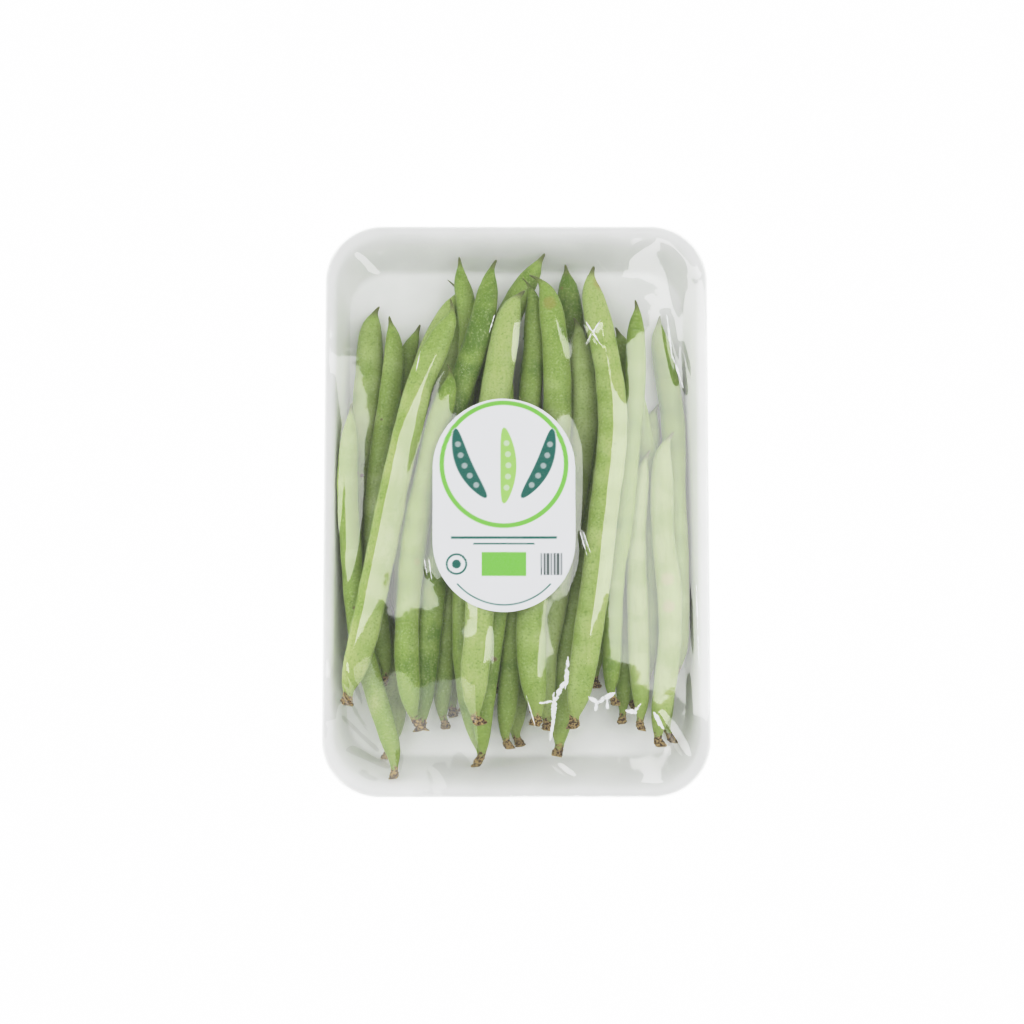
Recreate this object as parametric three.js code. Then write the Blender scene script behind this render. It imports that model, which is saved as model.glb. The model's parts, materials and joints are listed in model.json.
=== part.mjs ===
// A retail pack of green beans: a white foam tray, thirty-odd whole pods laid along it, a clear
// stretch film drawn over the pods and folded under the tray, and an oval paper label on the film.
// Units are millimetres. +Z is up and z = 0 is the surface that the pack lies on. The origin is the
// middle of the pack's underside. +Y runs along the tray to the end where the pods' pointed tips lie,
// and +X is to the right, seen from above with the tips away from the viewer.
import * as THREE from "three";

// Foam tray: outside size at the rim, depth, foam thickness, lip and the run of its sloping walls.
const TRAY_LENGTH = 210;
const TRAY_WIDTH = 141;
const TRAY_DEPTH = 22;
const FOAM = 3;
const LIP = 3.5;
const SIDE_RUN = 3.5;
const END_RUN = 10;
const WALL_CURVE = 1.5;
const RIM_CORNER = 21;
const FLOOR_CORNER = 15;

// Stretch film, drawn thicker than life so that it is a solid, its clearance to what it covers, and how
// far it clings down into a gap: at most the cling depth, and half of that where it is the reach deep.
// It does so a margin in from the rim, and in full twice as far in.
const FILM = 0.5;
const FILM_GAP = 0.45;
const FILM_HEM = 34;
const FILM_COLUMNS = 32;
const FILM_ROWS = 20;
const FILM_EDGE_BIAS = 0.1;
const CLING_DEPTH = 3;
const CLING_REACH = 2;
const CLING_MARGIN = 7;

// Paper label: a strip with round ends, stuck on the film.
const LABEL_WIDTH = 51.5;
const LABEL_LENGTH = 78;
const LABEL = 0.5;
const LABEL_CENTRE = [-4.5, 0.5];
const LABEL_GAP = 0.35;

// Pods: clearance between them, flatness of their section, and how far they bend under their weight.
const POD_GAP = 0.6;
const POD_FLATNESS = 0.76;
const POD_SIDES = 10;
const DRAPE_RADIUS = 95;
const SAG_RADIUS = 220;
const STATION = 2.5;
const SLIDE_STEP = 1;
const SLIDE_COST = 0.12;
const SEED_PITCH = 13.5;
const SEED_SWELL = 0.035;
const BODY_RING_PITCH = 15;

// The pod's half-width as a share of its widest, at distances from the pointed tip and from the stalk.
const TIP_TAPER = [[0, 0.06], [0.8, 0.1], [2.8, 0.17], [5.5, 0.38], [9, 0.66], [15, 0.88], [28, 1]];
const STALK_TAPER = [[0, 0.27], [1.2, 0.38], [3, 0.33], [4.6, 0.46], [8, 0.7], [13, 0.88], [24, 1]];

const UNDERSIDE = FILM + FILM_GAP;
const FLOOR = UNDERSIDE + FOAM;
const RIM = UNDERSIDE + TRAY_DEPTH;
const HALF_WIDTH = TRAY_WIDTH / 2;
const HALF_LENGTH = TRAY_LENGTH / 2;
const FLOOR_HALF_WIDTH = HALF_WIDTH - LIP - SIDE_RUN;
const FLOOR_HALF_LENGTH = HALF_LENGTH - LIP - END_RUN;

// How far a pod of each layer may slide sideways, and how far out its side may lie.
const LAYERS = {
  floor: { reach: 12, farthest: FLOOR_HALF_WIDTH + 0.5 },
  mid: { reach: 5, farthest: HALF_WIDTH - LIP },
  top: { reach: 2, farthest: HALF_WIDTH - LIP },
};

// Every pod in the order it is laid, lowest first: its greatest width, its green, and its path seen
// from above, from the pointed tip to the stalk. A last number is its own reach, if it may slide less.
const PODS = [
  ["floor_left", 8.1, 0xa3c47c, [[-36.5, 71], [-42, 55], [-46, 22], [-46.5, -10], [-43.5, -43]]],
  ["floor_left_inner", 8.8, 0x97bb6c, [[-20, 87], [-24, 66], [-30, 38], [-36, -3], [-39, -35],
    [-39.5, -57]]],
  ["floor_label_left", 8.8, 0x8fb560, [[-14, 66], [-20, 19], [-23, -24], [-25, -77]], 2],
  ["floor_slanted", 9.5, 0x9dc079, [[8.5, 96], [2.5, 88], [-6, 71], [-12, 34], [-15, -16],
    [-20.5, -74]], 2],
  ["floor_centre", 8.8, 0x8db35e, [[4, 66], [5, 34], [2, -14], [-1, -88]], 2],
  ["floor_dark_tip", 9.5, 0x84ab58, [[20, 93], [18.5, 86], [21.5, 68], [21, 30], [13, -28],
    [4, -75]], 2],
  ["floor_pale_tip", 9.5, 0x97bb68, [[26, 89], [28, 79], [31.5, 45], [28, 3], [20, -42], [15, -80],
    [15.5, -91]], 1],
  ["floor_under_label", 8.4, 0x8fb560, [[-6, 58], [-8, 0], [-8, -68]], 2],
  ["floor_mid_right", 8.4, 0x93b868, [[34, 56], [33, 8], [30, -40], [28, -66]]],
  ["floor_right", 8.4, 0x9cbd80, [[40, 41], [37.5, 0], [35, -44], [32, -74]]],
  ["floor_right_outer", 8.1, 0x9cbd80, [[45.5, 15], [45, -32], [44, -70], [45.5, -86]]],
  ["floor_forked", 8.8, 0x98bb6e, [[40.5, 74], [43, 65], [49, 41], [52.5, 6], [55.5, -32], [60, -62]]],
  ["floor_right_wall", 8.1, 0x97ba74, [[48, 69], [53.5, 45], [59, 20], [60.5, -7], [60.5, -40],
    [61, -65]]],
  ["mid_far_left", 10.3, 0xa9c985, [[-55, 78], [-56, 68], [-55.5, 50], [-58, 19], [-56, -16],
    [-48, -50],
    [-43, -77], [-46, -92]], 2],
  ["mid_second_left", 8.1, 0x9dbf74, [[-48, 73], [-45.5, 63], [-48, 37], [-52.5, 6], [-52, -32],
    [-47, -65]], 3],
  ["mid_left_wall", 8.1, 0x9fc07a, [[-61.5, 39], [-62.5, 22], [-62, -10], [-58.5, -44], [-51, -69],
    [-42, -98]], 1],
  ["mid_slim_left", 8.1, 0xabca84, [[-23.5, 84], [-28, 75], [-37, 56], [-42, 28], [-43.5, -10],
    [-40.5, -62]], 3],
  ["mid_hooked", 8.1, 0x9bbe70, [[-21, 95], [-21.5, 89], [-17, 74], [-18, 52], [-23.5, 10], [-24, -38],
    [-26.5, -81]], 2],
  ["mid_low_centre", 8.1, 0x92b765, [[-11, 42], [-16.5, 8], [-19.5, -40], [-18, -69], [-11.5, -94]], 2],
  ["mid_shaded", 8.1, 0x88b05c, [[5, 86], [4.5, 78], [5, 60], [1.5, 22], [-2, -30], [-6.5, -88]], 2],
  ["mid_spotted", 7.6, 0x8db463, [[4, 41], [-1.5, -3], [-5, -40], [-10, -78], [-9, -93]], 2],
  ["mid_pale_bend", 9.9, 0xb5d08e, [[23, 72], [24, 64], [27, 43], [23.5, 12], [15.5, -29], [11, -60],
    [12.5, -81]], 1],
  ["mid_right_gap", 7.6, 0x9dbc86, [[43, 26], [42, -18], [42, -58], [40.5, -79]]],
  ["mid_right_slim", 7.6, 0xb3cf93, [[49, 22], [45.5, -3], [47, -36], [49.5, -81]]],
  ["top_dark", 9.5, 0x7ba84c, [[-8.5, 93], [-9.5, 86], [-14, 66], [-23.5, 36], [-28.5, 0], [-32, -44],
    [-34.5, -81]], 0],
  ["top_beside_left", 9.2, 0xa1c478, [[-21.5, 51], [-30, 24], [-37, -14], [-40, -49], [-37.5, -80]], 0],
  ["top_broad_centre", 10.6, 0xa5c878, [[2.5, 81], [-2, 72], [-7, 50], [-11, 20], [-13, -29],
    [-16.5, -79]], 0],
  ["top_broad_right", 10.6, 0x9cc064, [[8.5, 88], [10.5, 82], [14.5, 62], [15.5, 36], [11.5, -5],
    [5.5, -45], [8, -79]], 0],
  ["top_milky_right", 8.8, 0xc3d9a6, [[56, 29], [53.5, 12], [54.5, -16], [56, -48], [49.5, -87]]],
  ["top_straight_right", 8.1, 0x9fc287, [[47.5, 78], [47, 67], [44.5, 32], [39, -14], [37, -44],
    [37, -72]]],
  ["top_long_right", 10.3, 0xa9cb74, [[31, 90], [29, 85], [33, 67], [37, 36], [34, -2], [27.5, -48],
    [21.5, -80]]],
  ["top_long_left", 10.3, 0xb3cf8a, [[-19, 75], [-23.5, 67], [-34, 40], [-42.5, 6], [-50, -32],
    [-57, -61], [-61, -71]]],
];

// The value at a distance along a table of [distance, value], level past both of its ends.
function along(table, distance) {
  const next = table.findIndex(([d]) => d >= distance);
  if (next === -1) return table.at(-1)[1];
  if (next === 0) return table[0][1];
  const [[d0, v0], [d1, v1]] = table.slice(next - 1, next + 1);
  return v0 + ((v1 - v0) * (distance - d0)) / (d1 - d0);
}

// A point on a rectangle's edge, brought in onto the arc where the corner is rounded.
function rounded(x, y, halfX, halfY, radius) {
  const cx = halfX - radius;
  const cy = halfY - radius;
  const dx = Math.abs(x) - cx;
  const dy = Math.abs(y) - cy;
  if (dx <= 0 || dy <= 0) return [x, y];
  const scale = radius / Math.hypot(dx, dy);
  return [Math.sign(x) * (cx + dx * scale), Math.sign(y) * (cy + dy * scale)];
}

// A geometry from points and triangles, turned round if its faces point inwards.
function geometryOf(points, triangles) {
  const at = (i) => new THREE.Vector3(...points[i]);
  const volume = triangles.reduce((sum, [a, b, c]) => sum + at(a).dot(at(b).cross(at(c))), 0);
  const faces = volume < 0 ? triangles.map(([a, b, c]) => [a, c, b]) : triangles;
  const geometry = new THREE.BufferGeometry();
  geometry.setAttribute("position", new THREE.Float32BufferAttribute(points.flat(), 3));
  geometry.setIndex(faces.flat());
  geometry.computeVertexNormals();
  return geometry;
}

// The triangles between two rings of the same number of points.
function band(startA, startB, count) {
  const triangles = [];
  for (let i = 0; i < count; i++) {
    const j = (i + 1) % count;
    triangles.push([startA + i, startA + j, startB + j], [startA + i, startB + j, startB + i]);
  }
  return triangles;
}

// A closed solid lofted through rings, with a pole that closes each end.
function loft(rings, firstPole, lastPole) {
  const count = rings[0].length;
  const points = [...rings.flat(), firstPole, lastPole];
  const triangles = [];
  for (let k = 0; k + 1 < rings.length; k++) triangles.push(...band(k * count, (k + 1) * count, count));
  const lastRing = (rings.length - 1) * count;
  for (let i = 0; i < count; i++) {
    const j = (i + 1) % count;
    triangles.push([points.length - 2, j, i], [points.length - 1, lastRing + i, lastRing + j]);
  }
  return geometryOf(points, triangles);
}

function meshOf(name, geometry, look) {
  const mesh = new THREE.Mesh(geometry, new THREE.MeshStandardMaterial({ metalness: 0, ...look }));
  mesh.name = name;
  return mesh;
}

// Tray

// A level ring of the tray, set in from the rim by a margin at the sides and another at the ends.
function trayRing(sideInset, endInset, z) {
  const halfX = HALF_WIDTH - sideInset;
  const halfY = HALF_LENGTH - endInset;
  const radius = RIM_CORNER - ((RIM_CORNER - FLOOR_CORNER) * endInset) / (LIP + END_RUN);
  const steps = 7;
  const ring = [];
  for (const [sx, sy, turn] of [[1, 1, 0], [-1, 1, 1], [-1, -1, 2], [1, -1, 3]]) {
    for (let i = 0; i <= steps; i++) {
      const angle = ((turn + i / steps) * Math.PI) / 2;
      const x = sx * (halfX - radius) + radius * Math.cos(angle);
      ring.push([x, sy * (halfY - radius) + radius * Math.sin(angle), z]);
    }
  }
  return ring;
}

// How high a sloping wall has risen, from 0 at the floor to 1 at the rim. It is steepest at the floor.
function wallRise(share) {
  return 1 - (1 - share) ** WALL_CURVE;
}

function makeTray() {
  const inset = (run, share, thickness) => LIP + run * share - thickness;
  const wall = (share, thickness) => [inset(SIDE_RUN, share, thickness), inset(END_RUN, share, thickness)];
  const level = (low, high, share) => low + (high - low) * wallRise(1 - share);
  const outside = (share) => trayRing(...wall(share, FOAM), level(UNDERSIDE, RIM - 5, share));
  const inside = (share) => trayRing(...wall(share, 0), level(FLOOR, RIM - 0.7, share));
  const rings = [
    trayRing(...wall(1, FOAM - 1.5), UNDERSIDE),
    trayRing(...wall(1, FOAM), UNDERSIDE + 1.5),
    outside(0.75),
    outside(0.35),
    trayRing(...wall(0, FOAM - 1), RIM - 5),
    trayRing(0.4, 0.4, RIM - 3.6),
    trayRing(0, 0, RIM - 2.6),
    trayRing(0, 0, RIM - 1.2),
    trayRing(0.9, 0.9, RIM),
    trayRing(LIP - 1.1, LIP - 1.1, RIM),
    inside(0),
    inside(0.4),
    inside(0.75),
    inside(0.93),
    trayRing(...wall(1.12, 0), FLOOR),
  ];
  return loft(rings, [0, 0, UNDERSIDE], [0, 0, FLOOR]);
}

// The height of the tray's inside, which a pod lies on or leans against.
function trayHeight(x, y) {
  const overX = Math.abs(x) - (FLOOR_HALF_WIDTH - FLOOR_CORNER);
  const overY = Math.abs(y) - (FLOOR_HALF_LENGTH - FLOOR_CORNER);
  let share = Math.max((overX - FLOOR_CORNER) / SIDE_RUN, (overY - FLOOR_CORNER) / END_RUN);
  if (overX > 0 && overY > 0) {
    const reach = Math.hypot(overX, overY);
    const run = (SIDE_RUN * overX * overX + END_RUN * overY * overY) / (reach * reach);
    share = (reach - FLOOR_CORNER) / run;
  }
  return FLOOR + (RIM - FLOOR) * wallRise(Math.min(Math.max(share, 0), 1));
}

// Pods

// Stations a step apart along a pod's path, with its half-width and half-height at each.
function stationsOf([name, width, colour, path], order) {
  const corners = path.map(([x, y]) => new THREE.Vector3(x, y, 0));
  const curve = new THREE.CatmullRomCurve3(corners, false, "centripetal");
  const length = curve.getLength();
  const count = Math.round(length / STATION);
  const stations = [];
  for (let i = 0; i <= count; i++) {
    const distance = (length * i) / count;
    const swell = 1 + SEED_SWELL * Math.sin((2 * Math.PI * distance) / SEED_PITCH + order);
    const share = Math.min(along(TIP_TAPER, distance), along(STALK_TAPER, length - distance));
    const halfWidth = (width / 2) * share * swell;
    const point = curve.getPointAt(i / count);
    stations.push({ x: point.x, y: point.y, z: 0, distance, halfWidth, halfHeight: halfWidth * POD_FLATNESS });
  }
  return { name, colour, length, stations };
}

// How high a station's centre has to be to clear the tray under it.
function heightOverTray(s) {
  let height = 0;
  for (let ring = 0; ring <= 3; ring++) {
    const reach = ((s.halfWidth + POD_GAP) * ring) / 3;
    const rise = (s.halfHeight + POD_GAP) * Math.sqrt(1 - (ring / 3) ** 2);
    for (let i = 0; i < 12; i++) {
      const angle = (i * Math.PI) / 6;
      const under = trayHeight(s.x + reach * Math.cos(angle), s.y + reach * Math.sin(angle));
      height = Math.max(height, under + rise);
    }
  }
  return height;
}

// How high a station's centre has to be to clear the pods that are laid already.
function heightOverPods(s, laid) {
  let height = 0;
  for (const { stations } of laid) {
    for (const below of stations) {
      const across = s.halfWidth + below.halfWidth + POD_GAP;
      if (Math.abs(s.y - below.y) >= across) continue;
      const apart = Math.hypot(s.x - below.x, s.y - below.y) / across;
      if (apart >= 1) continue;
      const up = s.halfHeight + below.halfHeight + POD_GAP;
      height = Math.max(height, below.z + up * Math.sqrt(1 - apart * apart));
    }
  }
  return height;
}

// The lowest line over the given heights that bends no tighter than the drape radius over a support
// and sags no tighter than the sag radius between supports.
function lowestBow(heights, distances) {
  const bend = (i, j, radius) => (distances[i] - distances[j]) ** 2 / (2 * radius);
  const over = heights.map((_, i) => Math.max(...heights.map((h, j) => h - bend(i, j, DRAPE_RADIUS))));
  const spread = over.map((_, i) => Math.max(...over.map((h, j) => h - bend(i, j, SAG_RADIUS))));
  return spread.map((_, i) => Math.min(...spread.map((h, j) => h + bend(i, j, SAG_RADIUS))));
}

// A pod's stations after each of its ends has slid sideways and it has come to rest on what is laid.
function restingStations({ stations, length }, tipSlide, stalkSlide, farthest, laid) {
  const slid = stations.map((s) => {
    const x = s.x + tipSlide + ((stalkSlide - tipSlide) * s.distance) / length;
    const limit = farthest - s.halfWidth - POD_GAP;
    return { ...s, x: Math.min(Math.max(x, -limit), limit) };
  });
  const heights = slid.map((s) => Math.max(heightOverTray(s), heightOverPods(s, laid)));
  const line = lowestBow(heights, slid.map((s) => s.distance));
  return slid.map((s, i) => ({ ...s, z: line[i] }));
}

// Lays the pods one by one. Each slides a little to either side, to wherever it comes to rest lowest.
function layPods() {
  const laid = [];
  PODS.forEach((entry, order) => {
    const pod = stationsOf(entry, order);
    const layer = LAYERS[pod.name.split("_")[0]];
    const { farthest } = layer;
    const reach = entry[4] ?? layer.reach;
    let lowest = Infinity;
    let resting = null;
    for (let tipSlide = -reach; tipSlide <= reach; tipSlide += SLIDE_STEP) {
      for (let stalkSlide = -reach; stalkSlide <= reach; stalkSlide += SLIDE_STEP) {
        const stations = restingStations(pod, tipSlide, stalkSlide, farthest, laid);
        const mean = stations.reduce((sum, s) => sum + s.z, 0) / stations.length;
        const cost = mean + SLIDE_COST * (Math.abs(tipSlide) + Math.abs(stalkSlide));
        if (cost >= lowest) continue;
        lowest = cost;
        resting = stations;
      }
    }
    laid.push({ ...pod, stations: resting });
  });
  return laid;
}

// A pod's solid: oval rings across its path, close together at both ends and evenly spaced between.
function makePod({ length, stations }) {
  const ends = [...TIP_TAPER.slice(1).map(([d]) => d), ...STALK_TAPER.map(([d]) => length - d)];
  const first = TIP_TAPER.at(-1)[0];
  const body = length - first - STALK_TAPER.at(-1)[0];
  const steps = Math.max(1, Math.round(body / BODY_RING_PITCH));
  for (let i = 1; i < steps; i++) ends.push(first + (body * i) / steps);
  const at = (distance) => {
    const place = Math.min(Math.max((distance / length) * (stations.length - 1), 0), stations.length - 1.001);
    const [a, b] = [stations[Math.floor(place)], stations[Math.floor(place) + 1]];
    const mix = (key) => a[key] + (b[key] - a[key]) * (place % 1);
    return { centre: new THREE.Vector3(mix("x"), mix("y"), mix("z")), halfWidth: mix("halfWidth") };
  };
  const rings = ends.sort((a, b) => a - b).map((distance) => {
    const { centre, halfWidth } = at(distance);
    const forward = at(distance + STATION).centre.sub(at(distance - STATION).centre).normalize();
    const side = new THREE.Vector3(forward.y, -forward.x, 0).normalize();
    const up = side.clone().cross(forward);
    return Array.from({ length: POD_SIDES }, (_, i) => {
      const angle = (2 * Math.PI * i) / POD_SIDES;
      const point = centre.clone().addScaledVector(side, halfWidth * Math.cos(angle));
      return point.addScaledVector(up, halfWidth * POD_FLATNESS * Math.sin(angle)).toArray();
    });
  });
  return loft(rings, at(0).centre.toArray(), at(length).centre.toArray());
}

// Heights of what lies under a sheet, on a square grid one millimetre apart

class HeightMap {
  constructor() {
    this.halfX = Math.ceil(HALF_WIDTH) + 4;
    this.halfY = Math.ceil(HALF_LENGTH) + 4;
    this.columns = 2 * this.halfX + 1;
    this.cells = new Float64Array(this.columns * (2 * this.halfY + 1));
  }

  index(x, y) {
    return (Math.round(y) + this.halfY) * this.columns + Math.round(x) + this.halfX;
  }

  raise(x, y, z) {
    const i = this.index(x, y);
    this.cells[i] = Math.max(this.cells[i], z);
  }

  // The highest cell within a distance of a point.
  highest(x, y, reach) {
    let z = 0;
    for (let dx = -reach; dx <= reach; dx++) {
      for (let dy = -reach; dy <= reach; dy++) z = Math.max(z, this.cells[this.index(x + dx, y + dy)] || 0);
    }
    return z;
  }
}

function heightsOfContents(laid) {
  const map = new HeightMap();
  for (let x = -HALF_WIDTH; x <= HALF_WIDTH; x += 0.5) {
    for (let y = -HALF_LENGTH; y <= HALF_LENGTH; y += 0.5) map.raise(x, y, trayHeight(x, y));
  }
  for (const { stations } of laid) {
    for (const s of stations) {
      for (let dx = -s.halfWidth; dx <= s.halfWidth; dx += 0.5) {
        for (let dy = -s.halfWidth; dy <= s.halfWidth; dy += 0.5) {
          const share = Math.hypot(dx, dy) / s.halfWidth;
          if (share < 1) map.raise(s.x + dx, s.y + dy, s.z + s.halfHeight * Math.sqrt(1 - share * share));
        }
      }
    }
  }
  return map;
}

// Calls back with points spread over a triangle and each corner's share of them.
function overTriangle(corners, spacing, visit) {
  const [a, b, c] = corners;
  const longest = Math.max(
    Math.hypot(a[0] - b[0], a[1] - b[1]),
    Math.hypot(b[0] - c[0], b[1] - c[1]),
    Math.hypot(c[0] - a[0], c[1] - a[1]),
  );
  const steps = Math.max(1, Math.ceil(longest / spacing));
  for (let i = 0; i <= steps; i++) {
    for (let j = 0; j <= steps - i; j++) {
      const shares = [i / steps, j / steps, (steps - i - j) / steps];
      visit([0, 1, 2].map((k) => shares[0] * a[k] + shares[1] * b[k] + shares[2] * c[k]), shares);
    }
  }
}

// Lifts a sheet's corners until every facet is a gap clear of what lies under it. Each round takes
// each facet's worst place and lifts the facet's free corners by no more than that place needs.
function liftClear(points, triangles, under, gap, isFixed) {
  const rounds = 400;
  for (let round = 0; round < rounds; round++) {
    let lifted = false;
    for (const triangle of triangles) {
      let worst = { short: 1e-3 };
      overTriangle(triangle.map((i) => points[i]), 1, ([x, y, z], shares) => {
        const free = shares.map((share, k) => (isFixed(triangle[k]) ? 0 : share));
        const weight = free.reduce((sum, share) => sum + share * share, 0);
        const short = weight > 0.02 ? under.highest(x, y, 1) + gap - z : 0;
        if (short > worst.short) worst = { short, free, weight };
      });
      if (!worst.free) continue;
      triangle.forEach((i, k) => (points[i][2] += (worst.short * worst.free[k]) / worst.weight));
      lifted = true;
    }
    if (!lifted) return;
  }
}

// Film

// A grid line's place from -1 to 1 across the film. The lines are closer together near the rim.
function gridPlace(line, count) {
  const even = (2 * line) / count - 1;
  return even + FILM_EDGE_BIAS * Math.sin(Math.PI * even);
}

// The film's inner face over the top: a grid of points, drawn tight over the contents like a drumskin
// and clinging a little way down into the gaps between the pods.
function makeFilmTop(contents) {
  const points = [];
  const clings = [];
  const at = (i, j) => j * (FILM_COLUMNS + 1) + i;
  for (let j = 0; j <= FILM_ROWS; j++) {
    for (let i = 0; i <= FILM_COLUMNS; i++) {
      const u = gridPlace(i, FILM_COLUMNS);
      const v = gridPlace(j, FILM_ROWS);
      const level = Math.max(Math.abs(u), Math.abs(v));
      const [halfX, halfY] = [level * (HALF_WIDTH - 1), level * (HALF_LENGTH - 1)];
      const [x, y] = rounded(u * (HALF_WIDTH - 1), v * (HALF_LENGTH - 1), halfX, halfY, level * RIM_CORNER);
      points.push([x, y, contents.highest(x, y, 2) + FILM_GAP]);
      const inward = (1 - level) * HALF_WIDTH - CLING_MARGIN;
      clings.push(CLING_DEPTH * Math.min(Math.max(inward / CLING_MARGIN, 0), 1));
    }
  }
  const floorOf = points.map(([, , z]) => z);
  const relaxations = 400;
  for (let round = 0; round < relaxations; round++) {
    for (let j = 1; j < FILM_ROWS; j++) {
      for (let i = 1; i < FILM_COLUMNS; i++) {
        const around = [at(i - 1, j), at(i + 1, j), at(i, j - 1), at(i, j + 1)];
        const mean = around.reduce((sum, k) => sum + points[k][2], 0) / 4;
        points[at(i, j)][2] = Math.max(floorOf[at(i, j)], mean);
      }
    }
  }
  points.forEach((point, k) => {
    const gap = point[2] - floorOf[k];
    point[2] -= (clings[k] * gap) / (gap + CLING_REACH);
  });
  const triangles = [];
  for (let j = 0; j < FILM_ROWS; j++) {
    for (let i = 0; i < FILM_COLUMNS; i++) {
      const [a, b, c, d] = [at(i, j), at(i + 1, j), at(i + 1, j + 1), at(i, j + 1)];
      const rising = (i < FILM_COLUMNS / 2) === (j < FILM_ROWS / 2);
      triangles.push(...(rising ? [[a, b, d], [b, c, d]] : [[a, b, c], [a, c, d]]));
    }
  }
  const onEdge = (k) => {
    const [i, j] = [k % (FILM_COLUMNS + 1), Math.floor(k / (FILM_COLUMNS + 1))];
    return i === 0 || j === 0 || i === FILM_COLUMNS || j === FILM_ROWS;
  };
  liftClear(points, triangles, contents, FILM_GAP, onEdge);
  const edge = [];
  for (let i = 0; i < FILM_COLUMNS; i++) edge.push([i, 0]);
  for (let j = 0; j < FILM_ROWS; j++) edge.push([FILM_COLUMNS, j]);
  for (let i = FILM_COLUMNS; i > 0; i--) edge.push([i, FILM_ROWS]);
  for (let j = FILM_ROWS; j > 0; j--) edge.push([0, j]);
  return { points, triangles, edge: edge.map(([i, j]) => ({ index: at(i, j), i, j })) };
}

// A ring of the film round the tray, point for point with the edge of its top.
function filmRing(edge, sideInset, endInset, radius, z) {
  const halfX = HALF_WIDTH - sideInset;
  const halfY = HALF_LENGTH - endInset;
  return edge.map(({ i, j }) => {
    const u = gridPlace(i, FILM_COLUMNS);
    const v = gridPlace(j, FILM_ROWS);
    return [...rounded(u * halfX, v * halfY, halfX, halfY, radius), z];
  });
}

// The whole film: over the rim, down the tray's walls and under its base, where the hem leaves the
// middle bare. Its inner face is made first, and its outer face follows a film's thickness outside it.
function makeFilm({ points, triangles, edge }) {
  const base = LIP - FOAM - FILM_GAP;
  const face = (out) => {
    const top = points.map(([x, y, z]) => [x, y, z + out]);
    const rings = [
      filmRing(edge, -FILM_GAP - out, -FILM_GAP - out, RIM_CORNER, RIM - 0.9),
      filmRing(edge, -FILM_GAP - out, -FILM_GAP - out, RIM_CORNER, RIM - 3.4),
      filmRing(edge, SIDE_RUN + base - out, END_RUN + base - out, FLOOR_CORNER + 1, UNDERSIDE + 1),
      filmRing(edge, SIDE_RUN + base + 1.5, END_RUN + base + 1.5, FLOOR_CORNER, FILM - out),
      filmRing(edge, FILM_HEM, FILM_HEM, FLOOR_CORNER, FILM - out),
    ];
    return { corners: [...top, ...rings.flat()], rings: rings.length };
  };
  const [inner, outer] = [face(0), face(FILM)];
  const offset = inner.corners.length;
  const count = edge.length;
  const skin = [...triangles];
  edge.forEach(({ index }, k) => {
    const next = edge[(k + 1) % count].index;
    const [low, lowNext] = [points.length + k, points.length + ((k + 1) % count)];
    skin.push([index, low, lowNext], [index, lowNext, next]);
  });
  for (let r = 0; r + 1 < inner.rings; r++) {
    skin.push(...band(points.length + (r + 1) * count, points.length + r * count, count));
  }
  const hem = points.length + (inner.rings - 1) * count;
  const all = [
    ...skin.map(([a, b, c]) => [a + offset, b + offset, c + offset]),
    ...skin.map(([a, b, c]) => [a, c, b]),
    ...band(hem, hem + offset, count),
  ];
  return geometryOf([...inner.corners, ...outer.corners], all);
}

// Label

// A strip with round ends: rings from its middle out to its edge, laid over the film.
function makeLabel(film) {
  const under = new HeightMap();
  for (const triangle of film.triangles) {
    overTriangle(triangle.map((i) => film.points[i]), 0.5, ([x, y, z]) => under.raise(x, y, z + FILM));
  }
  const radius = LABEL_WIDTH / 2;
  const straight = LABEL_LENGTH / 2 - radius;
  const perEnd = 12;
  const count = 2 * perEnd;
  const shares = [0.35, 0.7, 1];
  const points = [[...LABEL_CENTRE, 0]];
  for (const share of shares) {
    for (let i = 0; i < count; i++) {
      const end = i < perEnd ? 1 : -1;
      const angle = (Math.PI * (end > 0 ? i : i - 1)) / (perEnd - 1);
      const x = share * radius * Math.cos(angle);
      const y = share * (end * straight + radius * Math.sin(angle));
      points.push([LABEL_CENTRE[0] + x, LABEL_CENTRE[1] + y, 0]);
    }
  }
  const face = shares.slice(1).flatMap((_, k) => band(1 + k * count, 1 + (k + 1) * count, count));
  for (let i = 0; i < count; i++) face.push([0, 1 + ((i + 1) % count), 1 + i]);
  points.forEach((p) => (p[2] = under.highest(p[0], p[1], 1) + LABEL_GAP));
  liftClear(points, face, under, LABEL_GAP, () => false);
  const rim = 1 + (shares.length - 1) * count;
  const offset = points.length;
  const all = [
    ...face,
    ...face.map(([a, b, c]) => [a + offset, c + offset, b + offset]),
    ...band(rim, rim + offset, count),
  ];
  return geometryOf([...points, ...points.map(([x, y, z]) => [x, y, z + LABEL])], all);
}

const pack = new THREE.Group();
pack.name = "green_bean_pack";
pack.add(meshOf("foam_tray", makeTray(), { color: 0xf1f2f0, roughness: 0.75 }));

const laid = layPods();
for (const pod of laid) {
  pack.add(meshOf("pod_" + pod.name, makePod(pod), { color: pod.colour, roughness: 0.45 }));
}

const filmTop = makeFilmTop(heightsOfContents(laid));
const clear = { color: 0xffffff, roughness: 0.08, transparent: true, opacity: 0.2 };
pack.add(meshOf("stretch_film", makeFilm(filmTop), clear));
pack.add(meshOf("label", makeLabel(filmTop), { color: 0xeef0f2, roughness: 0.5 }));

export default pack;
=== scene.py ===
"""A retail pack of green beans in Blender: the foam tray, the pods, the stretch film and the label.

Sizes in this script are metres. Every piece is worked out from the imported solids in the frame.
"""
import json
import math

import bpy
import numpy as np
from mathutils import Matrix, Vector
from mathutils.bvhtree import BVHTree


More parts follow.
